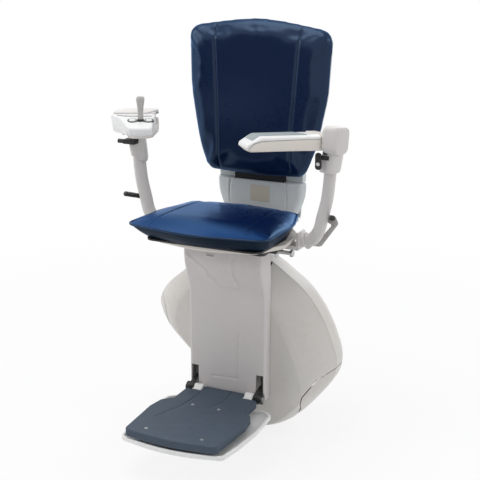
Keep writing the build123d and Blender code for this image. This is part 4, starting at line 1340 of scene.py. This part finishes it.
controls = {
    "lower": [(-20.5, -4.5), (30, -3.4), (212, 0), (232, 8), (233, 20.3), (27, 20.3), (27, 36),
              (-20.5, 36.5)],
    "lowerRadii": [20, 60, 30, 5, 1, 1, 4, 20],
    # side of the head: along, height; it widens outward from the nose to the rear
    "head": [(101.8, 7.7), (240, 7.7), (240.5, 27.4), (215, 36.4), (182, 48), (101.8, 51)],
    "headRadii": [5, 6, 9, 0.5, 20, 5],
    "crest": (182, 48), "fall": 19 / 54, "noseHalf": 30.0, "headOuter": (81.0, 0.369), "start": 101.8,
    "edge": 4.8, "headHigh": 51.0, "lean": 0.14,
    "pedestal": ((29, 100.5), (-26, 26)), "pedestalZ": (20.9, 52), "trimZ": (46.6, 50.2),
    "plate": [(101, -10), (12, -31), (-14, -28), (-14, 30), (30, 72), (101, 74)],
    "plateRadii": [4, 22, 14, 24, 24, 5], "plateLow": 50.4, "plateHigh": 56.6,
    "stickAlong": 200.0, "aside": 19.0, "buttonHalf": (7, 8), "buttonZ": (-4, 2.6), "inlayZ": (-3, 0.7),
    # black inlay: radius round each button, half width of the bridge, and the band behind the joystick
    "ring": 12.4, "bridge": 2.6,
    "rearBand": [(147, -24), (163, -24), (170, 30), (146, 60), (130, 64), (147, 30)],
    # height, half across, half along
    "stick": [(1, 4.4, 4.4), (4, 6.2, 5.4), (17, 6.6, 5.8), (33, 7.6, 6.4), (44, 9.2, 7.0), (50, 9.8, 7.2),
              (54, 8.8, 6.4), (56.4, 5.8, 4.2), (57, 1.2, 1)],
    # height and radius of the boot's ribs
    "boot": [(-1, 8.4), (0.6, 8.4), (1.2, 7.6), (1.7, 7.9), (2.3, 7.2), (2.8, 7.4), (3.4, 6.6), (3.9, 6.8),
             (4.6, 5)],
}


def slopePlace(side):
    # on the head's sloping top, with the origin where the joystick leaves it
    place = armPlace(side)
    fall = controls["fall"]
    length = math.hypot(1, fall)
    height = controls["crest"][1] - (controls["stickAlong"] - controls["crest"][0]) * fall

    def slope(x, y, z):
        return place(controls["stickAlong"] + (x + z * fall) / length, y, height + (z - x * fall) / length)

    return slope


def makeRightArmrest():
    c = controls
    place, slope = armPlace(-1), slopePlace(-1)
    banded("armrestRight", roundedOutline(c["lower"], c["lowerRadii"], 6), arm["half"], 1.6,
           lambda x, y, z: place(x, y, softened(y, z, *arm["bodyFall"])), "armBeige", "arm_right",
           "shell_white", ["armrest_right"], 9, 30)

    def headShape(x, y, z):
        half = c["noseHalf"]
        outer = c["headOuter"][0] - (x - c["start"]) * c["headOuter"][1]
        share = (y + half) / (2 * half)
        wide = share * (half + outer) - half
        nose = 3.0 * (1 - (y / half) ** 2) * float(smoothStep(x, 216, 240))
        return place(x + nose, wide - c["lean"] * share * (c["headHigh"] - z), z)

    # the head is whiter than the beige body: partly painted light on its top
    banded("controlHead", roundedOutline(c["head"], c["headRadii"], 7), c["noseHalf"], c["edge"], headShape,
           "armWhite", "arm_right", "shell_white", ["control_head"], 11, 30)
    plate = roundedOutline(c["plate"], c["plateRadii"], 7)
    pad = slab("armPadRight", plate, lambda x, y: c["plateLow"] - x * 0.012,
               lambda x, y: c["plateHigh"] + (60 - x) * 0.022, 1.2, 2.4, place, "armPaint", None, None)
    post = slab("pedestal", rectangle(*c["pedestal"], 5, 4), *c["pedestalZ"], 0.5, 0.5, place, "armWhite",
                None, None)
    unite(pad, [post])
    shadeByAngle(pad, 35)
    dress(pad, "armPaint", "arm_right", "shell_white", ["armrest_pad_right"])
    slab("armPadTrim", inset(plate, -0.5), *c["trimZ"], 0.6, 0.6, place, "greySoft", "arm_right",
         "grey_soft")
    # glossy inlay: a ring round each button and a band behind the joystick
    ring, bridge = c["ring"], c["bridge"]
    across = (c["aside"] + ring) * np.sin(np.linspace(-math.pi / 2, math.pi / 2, 49))
    reach = np.sqrt(np.clip(ring ** 2 - (np.abs(across) - c["aside"]) ** 2, 0, None))
    reach = np.where(np.abs(across) < c["aside"], np.maximum(reach, bridge), reach)
    middle = 6 * (1 - smoothStep(np.abs(across), 2, 14))
    lobes = [*zip(middle + reach, across), *list(zip(middle - reach, across))[-2:0:-1]]
    front = slab("frontInlay", lobes, *c["inlayZ"], 0.2, 0.4, slope, "blackGloss", None, None)
    band = slab("rearInlay", roundedOutline(c["rearBand"], 5, 6), 44,
                lambda x, y: 51.6 - (x - 101.8) * 3 / 80.2, 0.3, 0.4, place, "blackGloss", None, None)
    inlay = joined("controlInlay", [front, band])
    shadeByAngle(inlay, 40)
    dress(inlay, "blackGloss", "arm_right", "black_gloss", ["control_panel"])
    wide, high = c["buttonHalf"]
    for word, middle in (("inner", -c["aside"]), ("outer", c["aside"])):
        plan = rectangle((-wide, wide), (middle - high, middle + high), 6.8, 8)
        slab(f"directionButton{word.title()}", plan, *c["buttonZ"], 0.4, 1.9, slope, "armWhite",
             f"button_{word}", "shell_white", [f"direction_button_{word}"], 5, 50)
    foot = slope(0, 0, 0)
    base = np.array(foot)
    up = np.array(place(0, 0, 1)) - np.array(place(0, 0, 0))
    outward = np.array(place(0, 1, 0)) - np.array(place(0, 0, 0))
    rows = [(*(base + up * h), across, thick) for h, across, thick in c["stick"]]
    forward = np.cross(up, outward)
    sweep("joystick", rows, 40, forward, "stickGrey", "stick", "shell_white", ["joystick"], 2.8, 28, 50)
    # a ribbed rubber boot seals the joystick's foot
    rings = []
    for height, radius in c["boot"]:
        rings.append([slope(radius * math.cos(t), radius * math.sin(t), height)
                      for t in np.linspace(0, math.tau, 33)[:-1]])
    ringStack("joystickBoot", rings, "darkRubber", "arm_right", "black_rubber", (), 60)


for side, word in ((1, "Left"), (-1, "Right")):
    makePost(side, word)
makeLeftArmrest()
makeRightArmrest()
print("arms made")

# leg panel

panel = {
    "half": 106.0, "bottomZ": -110.0, "topZ": 293.0, "rearY": -218.0, "frontY": -250.0, "lean": 30.0,
    "leanStart": 150.0, "leanEnd": 262.0, "corner": 7.0, "wall": 3.0,
    "slot": (81, 101, -100, -43),
    "press": [(34, 66), (31.5, -62), (-42, -65)],
    "ridge": [(-106, 268), (-51, 229), (-45, 209), (-20, 185), (38, 185), (26, 216), (27.5, 290)],
    "notch": (-42, -20, 266, 288),
    # height and half width of the pressed line, the ridge and the notch's rim
    "pressSize": (1.3, 1.7), "ridgeSize": (2.2, 3.4), "rimSize": (1.6, 2.2), "notchDepth": 2.4,
}


def lineDistance(x, z, route):
    best = np.full(np.shape(x), 1e9)
    for (ax, az), (bx, bz) in zip(route, route[1:]):
        span = (bx - ax) ** 2 + (bz - az) ** 2
        t = np.clip(((x - ax) * (bx - ax) + (z - az) * (bz - az)) / span, 0, 1)
        best = np.minimum(best, np.hypot(x - ax - t * (bx - ax), z - az - t * (bz - az)))
    return best


def panelFront(z):
    return panel["frontY"] - panel["lean"] * float(smoothStep(z, panel["leanStart"], panel["leanEnd"]))


def panelRelief(x, z):
    p = panel
    groove = bead(lineDistance(x, z, p["press"]), *p["pressSize"])
    ridge = bead(lineDistance(x, z, p["ridge"]), *p["ridgeSize"])
    x0, x1, z0, z1 = p["notch"]
    inside = min(x - x0, x1 - x, z - z0, z1 - z)
    rim = bead(inside, *p["rimSize"])
    sink = p["notchDepth"] * float(smoothStep(inside, 0.5, 2.0))
    return float(groove - ridge - rim + sink)


def makeLegPanel():
    p = panel
    half, corner, wall = p["half"], p["corner"], p["wall"]
    rings = []
    for z in np.concatenate([np.linspace(p["bottomZ"], 150, 105), np.linspace(152, p["topZ"], 62)]):
        front = panelFront(z)
        outer = [(-half, y) for y in np.linspace(p["rearY"], front + corner, 4)]
        outer += [(-half + corner * (1 - math.cos(a)), front + corner * (1 - math.sin(a)))
                  for a in np.linspace(0, math.pi / 2, 5)[1:-1]]
        outer += [(x, front + panelRelief(x, z)) for x in np.linspace(-half + corner, half - corner, 86)]
        outer += [(half - corner * (1 - math.sin(a)), front + corner * (1 - math.cos(a)))
                  for a in np.linspace(0, math.pi / 2, 5)[1:-1]]
        outer += [(half, y) for y in np.linspace(front + corner, p["rearY"], 4)]
        inner = [(half - wall, y) for y in np.linspace(p["rearY"], front + corner, 3)]
        inner += [(x, front + wall + 1.6) for x in np.linspace(half - corner, corner - half, 30)]
        inner += [(wall - half, y) for y in np.linspace(front + corner, p["rearY"], 3)]
        rings.append([(x, y, z) for x, y in outer + inner])
    piece = ringStack("legPanel", rings, "panelGrey", None, None)
    x0, x1, z0, z1 = p["slot"]
    for side in (-1, 1):
        cutter = boxPiece("slotCutter", sorted((side * x0, side * x1)), (-262, -232), (z0, z1))
        carveAway(piece, cutter)
    shadeByAngle(piece, 40)
    dress(piece, "panelGrey", "carriage", "shell_white", ["leg_panel"])


makeLegPanel()
print("leg panel made")

# footrest

foot = {
    "topZ": -96.0, "thickness": 20.0,
    "plate": [(-122, -562), (0, -578), (122, -562), (131, -420), (124, -374), (100, -352), (100, -284),
              (57, -284), (57, -255), (-57, -255), (-57, -284), (-100, -284), (-100, -352), (-124, -374),
              (-131, -420)],
    "plateRadii": [14, 400, 14, 40, 16, 10, 5, 2, 5, 5, 2, 5, 10, 16, 40],
    "trayLow": -133.6, "trayHigh": -121.0,
    "tray": [(-136, -556), (0, -588), (136, -556), (146, -490), (152, -400), (146, -300), (126, -284),
             (-126, -284), (-146, -300), (-152, -400), (-146, -490)],
    "trayRadii": [16, 400, 16, 60, 60, 14, 6, 6, 14, 60, 60],
    # two curved channels are moulded into the tread, from the heel towards the toes
    "channels": [[(-57, -262), (-52, -330), (-62, -400), (-80, -450), (-86, -470)],
                 [(20, -262), (26, -310), (20, -350), (10, -372)]],
    "channelDepth": 1.8, "cutPitch": 3.0,
    # the tray's pocket: its share of the outline across and along, and the middle it shrinks to
    "pocket": (0.965, 0.97, -430),
    "gate": ((-110, 110), (-292, -280), (-126, -112)),
    "screws": [(-36, -372), (36, -372), (-74, -540), (74, -540)],
}


def makeFootrest():
    f = foot
    plan = roundedOutline(f["plate"], f["plateRadii"], 8)
    bottom = f["topZ"] - f["thickness"]
    piece = slab("footrestPlate", plan, bottom, f["topZ"], 2, 3, alongZ, "slateRubber", None, None, (), 4,
                 40)
    # the tread is cut into a fine mesh before the relief is pressed in
    bm = bmesh.new()
    bm.from_mesh(piece.data)
    for axis, spread in ((0, np.arange(-129, 130, f["cutPitch"])),
                         (1, np.arange(-576, -256, f["cutPitch"]))):
        for cut in spread:
            normal = (1, 0, 0) if axis == 0 else (0, 1, 0)
            place = (cut / 1000, 0, 0) if axis == 0 else (0, cut / 1000, 0)
            geometry = [*bm.faces, *bm.edges, *bm.verts]
            bmesh.ops.bisect_plane(bm, geom=geometry, plane_co=place, plane_no=normal, dist=0.00001)
    bm.to_mesh(piece.data)
    bm.free()
    p = meshPoints(piece)
    top = p[:, 2] > f["topZ"] - 0.4
    depth = np.zeros(len(p))
    for route in f["channels"]:
        smooth = smoothThrough([(x, y, 0) for x, y in route], 24)[:, :2]
        near = lineDistance(p[:, 0], p[:, 1], [tuple(q) for q in smooth])
        depth = np.maximum(depth, f["channelDepth"] * np.exp(-(near / 2.6) ** 4))
    p[:, 2] -= np.where(top, depth, 0)
    setPoints(piece, p)
    shadeByAngle(piece, 40)
    dress(piece, "slateRubber", "footrest", "slate_rubber", ["footrest_plate"])
    tray = slab("footrestTray", roundedOutline(f["tray"], f["trayRadii"], 7), f["trayLow"], f["trayHigh"],
                5, 1.4, alongZ, "trayWhite", None, None, (), 4, 35)
    pocketPlan = scaledPlan(f["tray"], *f["pocket"])
    pocket = slab("pocket", roundedOutline(pocketPlan, f["trayRadii"], 7), f["trayLow"] + 3.4,
                  f["trayHigh"] + 4, 2, 0.5, alongZ, "trayWhite", None, None)
    carveAway(tray, pocket)
    gate = boxPiece("gate", *f["gate"])
    carveAway(tray, gate)
    shadeByAngle(tray, 35)
    dress(tray, "trayWhite", "sensing_tray", "white_paint", ["footrest_tray"])
    addScrews("footrestScrews", [(x, y, f["topZ"] - 1.6, (0, 0, 1)) for x, y in f["screws"]],
              "bareSteel", "footrest", "bare_steel", 4)


makeFootrest()
print("footrest made")

# seat tray, columns and backrest shell

under = {
    "tray": [(-128, -366), (0, -394), (128, -366), (174, -287), (168, -190), (120, -126), (-120, -126),
             (-168, -190), (-174, -287)],
    "trayRadii": [16, 200, 16, 16, 40, 20, 20, 40, 16], "trayLow": 311.0, "trayHigh": 322.0,
    "column": [(-126, -26), (-117, -54), (-84, -63), (84, -63), (117, -54), (126, -26)],
    "columnRadii": [8, 18, 12, 12, 18, 8], "columnLow": 309.0, "columnHigh": 414.0,
    "columnRear": [(-126, -25.4), (126, -25.4), (112, 0), (76, 12), (-76, 12), (-112, 0)],
    "rearRadii": [2, 2, 14, 14, 14, 14], "rearHigh": 560.0,
    "labelX": (-21, 34), "labelZ": (359, 402),
    "labelY": (-63.6, -62.4),
    # a black sheet that stands in for the shade in the gap under the backrest: painted shade
    "shadeSheetX": (-72, 72), "shadeSheetZ": (414.8, 437.0), "shadeSheetY": (-46.4, -43.8),
    "pocket": (0.96, 0.95, -250),
    "pinch": 0.16, "pinchZ": (318, 416), "seamSize": (2.6, 1.9),
    "spine": ((-71.5, 71.5), (-58, -10), (396, 430)),
    "rearBox": ((-118, 118), (-43.6, -20)), "rearBoxLow": 414.4,
    "rearHollow": [(-108, -40), (108, -40), (100, -4), (72, 8), (-72, 8), (-100, -4)],
    "rearScrewX": (-60, 60), "rearScrewZ": (340, 440, 530),
}


def makeSeatTray():
    u = under
    plan = roundedOutline(u["tray"], u["trayRadii"], 7)
    tray = slab("seatTray", plan, u["trayLow"], u["trayHigh"], 4, 1.4, alongZ, "armBeige", None, None, (),
                4, 35)
    pocketPlan = scaledPlan(u["tray"], *u["pocket"])
    pocket = slab("pocket", roundedOutline(pocketPlan, u["trayRadii"], 7), u["trayLow"] - 4,
                  u["trayHigh"] - 2.6, 1, 2, alongZ, "armBeige", None, None)
    carveAway(tray, pocket)
    shadeByAngle(tray, 35)
    dress(tray, "armBeige", "seat_frame", "shell_white", ["seat_tray"])


def pinched(x, y, z):
    # the cover's flanks draw in towards the foot
    t = float(1 - smoothStep(z, *under["pinchZ"]))
    return (x * (1 - under["pinch"] * t * t), y, z)


def grooved(x, y, z):
    # a shallow seam runs down each side of the front face
    seam = abs(x) - (86 - (z - 358) * 0.15)
    depth = bead(seam, *under["seamSize"]) if y < -50 else 0
    return (x, y + depth, z)


def makeColumns():
    u = under
    outline = roundedOutline(u["column"], u["columnRadii"], 7)
    dense = []
    for k in range(len(outline)):
        a, b = outline[k], outline[(k + 1) % len(outline)]
        steps = max(1, int(np.hypot(*(b - a)) / 1.6)) if a[1] < -50 and b[1] < -50 else 1
        dense += [a + (b - a) * t / steps for t in range(steps)]
    rings = []
    edge = 5.0
    for z in np.linspace(u["columnLow"], u["columnHigh"] - edge, 24):
        rings.append([pinched(*grooved(x, y, z)) for x, y in dense])
    for angle in np.linspace(0, math.pi / 2, 5)[1:]:
        ring = inset(np.array(dense), edge * (1 - math.cos(angle)))
        z = u["columnHigh"] - edge * (1 - math.sin(angle))
        rings.append([grooved(x, y, z) for x, y in ring])
    cover = ringStack("columnFront", rings, "shellGrey", None, None)
    inside = slab("inside", inset(np.array(outline), 4), 300, u["columnHigh"] - 5, 1, 3, pinched,
                  "shellGrey", None, None)
    carveAway(cover, inside)
    spine = boxPiece("spine", *u["spine"])
    carveAway(cover, spine)
    shadeByAngle(cover, 40)
    dress(cover, "shellGrey", "seat_frame", "shell_grey", ["column_front"])
    plan = rectangle(u["labelX"], u["labelZ"], 3, 4)
    slab("blankPlate", plan, *u["labelY"], 0.3, 0.2, alongY, "plateBeige", "seat_frame", "shell_grey")
    # a black sheet over the rear cover, in the gap under the backrest, stands in for the shade there:
    # painted shade
    plan = rectangle(u["shadeSheetX"], u["shadeSheetZ"], 2, 3)
    slab("spineStrip", plan, *u["shadeSheetY"], 0.4, 0.4, alongY, "blackPlastic", "seat_frame", "black_plastic")
    # rear cover: a tall box with rounded corners that closes the spine
    tall = slab("columnRear", roundedOutline(u["columnRear"], u["rearRadii"], 6), 309, u["rearHigh"], 2, 7,
                pinched, "shellGrey", None, None)
    plan = rectangle(*u["rearBox"], 3, 4)
    box = slab("box", plan, u["rearBoxLow"], u["rearHigh"], 1.5, 7, alongZ, "shellGrey", None, None)
    unite(tall, [box])
    hollow = slab("hollow", roundedOutline(u["rearHollow"], 6, 4), 300,
                  u["rearHigh"] - 4, 1, 3, alongZ, "shellGrey", None, None)
    carveAway(tall, hollow)
    b = backrest
    rear = b["frontY"] + b["thickness"] + 10
    points = [reclined(x, y, z) for x in (-64, 64) for y in (rear - 30, rear + 10.6) for z in (400, 660)]
    way = addPiece("way", points, boxFaces, "shellGrey", None, None)
    carveAway(tall, way)
    shadeByAngle(tall, 40)
    dress(tall, "shellGrey", "seat_frame", "shell_grey", ["column_rear"])
    addScrews("columnScrews",
              [(x, 12 - 0.6, z, (0, 1, 0)) for x in u["rearScrewX"] for z in u["rearScrewZ"]], "blackSteel",
              "seat_frame", "black_steel", 9)


def makeBackShell():
    b = backrest
    middle = (b["corners"][1][1] + b["corners"][6][1]) / 2
    corners = scaledPlan(b["corners"], *b["shellShare"], middle)
    plan = roundedOutline(corners, b["radii"], 9)
    rear = b["frontY"] + b["thickness"]
    slab("backrestShell", plan, rear + 0.1, rear + 10, 0.8, 7, lambda a, c, depth: reclined(a, depth, c),
                 "shellGrey", "seat_frame", "shell_grey", ["backrest_shell"], 6, 40)
    turn = math.radians(b["recline"])
    facing = (0, math.cos(turn), -math.sin(turn))
    places = [(*reclined(x, rear + 9.4, z), facing)
              for x, z in ((-150, 780), (150, 780), (-140, 600), (140, 600),
                                                              (-112, 470), (112, 470))]
    addScrews("backrestScrews", places, "blackSteel", "seat_frame", "black_steel", 6)


makeSeatTray()
makeColumns()
makeBackShell()
print("tray, columns and shell made")

# levers, collars and belt

levers = {
    "pivot": (205.0, -196.0, 306.0), "thickness": 3.6,
    "gripStart": (252.0, -192.4, 372.0), "gripEnd": (282.0, -261.0, 394.0), "gripRadius": 6.4,
    # outline of the bar from the pivot: across, up
    "bar": [(-12, -7), (24, -7), (68, 56), (58, 76), (38, 76), (36, 58), (52, 52), (17, 8), (-12, 8)],
    "barRadii": [7, 14, 8, 9, 9, 6, 4, 14, 7],
    # a rubber sleeve with rings, closed by a domed cap: share of the length, share of the radius
    "gripRings": [(0, 0.55), (0.012, 0.9), (0.03, 1.0), (0.2, 1.0), (0.22, 0.9), (0.24, 1.0), (0.5, 0.98),
                  (0.52, 0.88), (0.54, 0.98), (0.8, 1.0), (0.82, 0.9), (0.84, 1.0), (0.97, 1.0),
                  (0.99, 0.86), (1.0, 0.5)],
}


def makeLever(side, word):
    v = levers
    x, y, z = v["pivot"]
    plan = roundedOutline([(x + a, z + b) for a, b in v["bar"]], v["barRadii"], 5)
    slab(f"leverBar{word}", plan, y, y + v["thickness"], 0.9, 0.9, lambda a, c, depth: (side * a, depth, c),
         "leverGrey", f"lever_{word.lower()}", "bare_steel", [f"lever_bar_{word.lower()}"], 3, 40)
    start, end = np.array(v["gripStart"]), np.array(v["gripEnd"])
    radius = v["gripRadius"]
    rows = []
    for t, share in v["gripRings"]:
        point = start + (end - start) * t
        rows.append((side * point[0], point[1], point[2], radius * share, radius * share))
    sweep(f"leverGrip{word}", rows, 0, (0, 0, 1), "blackPlastic", f"lever_{word.lower()}", "black_plastic",
          [f"lever_grip_{word.lower()}"], 2, 24, 50)


collar = {
    "plan": [(150.4, 297), (188, 296.4), (190.4, 300), (190.4, 341), (184, 341), (182, 307.6),
             (150.4, 307.6)],
    "radii": [3, 2, 4, 4, 2, 5, 3], "half": 21.6,
    # rings of the ferrule at the post's foot: x, z, radius
    "ferrule": [(186, 321, 18.2), (189, 321, 18.2), (198, 321, 18.2), (200.4, 321.1, 17.6),
                (201, 321.2, 15.4)],
}


def makeCollar(side):
    y, half = arm["postY"], collar["half"]
    plan = roundedOutline(collar["plan"], collar["radii"], 5)
    bracket = slab("bracket", plan, y - half, y + half, 2.2, 2.2, lambda a, c, depth: (side * a, depth, c),
                   "armPaint", None, None)
    rows = [(side * x, y, z, r, r) for x, z, r in collar["ferrule"]]
    ferrule = sweep("ferrule", rows, 0, (0, 1, 0), "armPaint", None, None, (), 2.2, 32, 50)
    return [bracket, ferrule]


collars = []
for side, word in ((1, "Left"), (-1, "Right")):
    makeLever(side, word)
    collars += makeCollar(side)
collarPiece = joined("armCollars", collars)
shadeByAngle(collarPiece, 40)
dress(collarPiece, "armPaint", "seat_frame", "arm_paint", ["arm_collars"])

belt = {
    "pin": (238.5, -248.0, 533.0), "half": 8.0, "drop": 30.0, "rise": 11.0, "studDrop": 16.0,
    # rings of the round stud: depth, radius
    "stud": [(1.8, 4.4), (3.4, 4.4), (4.4, 3.8), (4.9, 2.2), (5.0, 0.4)],
}


def makeBelt():
    x, y, z = belt["pin"]
    half = belt["half"]
    plan = rectangle((x - half, x + half), (z - belt["drop"], z + belt["rise"]), 7, 8)
    slab("beltTongue", plan, y - 2, y + 1.8, 0.9, 0.9, alongY, "blackPlastic", "belt", "black_plastic",
                  ["belt_tongue"], 3, 40)
    rows = [(x, y - depth, z - belt["studDrop"], r, r) for depth, r in belt["stud"]]
    sweep("beltStud", rows, 0, (0, 0, 1), "armWhite", "belt", "shell_white", (), 2, 20, 50)


makeBelt()
print("levers, collars and belt made")

# finishes for the CAD nodes that stay

nodeFinishes = {
    "blackSteel": ["chassis_plate", "drive_motor", "leg_frame", "swivel_plate", "back_frame", "seat_pan"],
    "trayWhite": ["footrest_arms"],
    "castAlloy": ["guide_shoes", "gearbox"],
    "bareSteel": ["roller_axles", "chassis_screws", "footrest_pins", "swivel_post", "index_plate",
                  "drive_pinion", "tray_knobs", "arm_pivot_pins", "lever_pivots", "latch_plunger"],
    "nylon": ["guide_roller_left", "guide_roller_right", "thrust_washer"],
    "brass": ["charge_contacts"],
    "boardGreen": ["control_board"],
    "blackPlastic": ["batteries", "belt_mounts"],
    "darkRubber": ["arm_stops"],
}
for look, names in nodeFinishes.items():
    for node in names:
        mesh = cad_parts[node].data
        mesh.materials.clear()
        mesh.materials.append(finish(look))
print("CAD nodes finished")
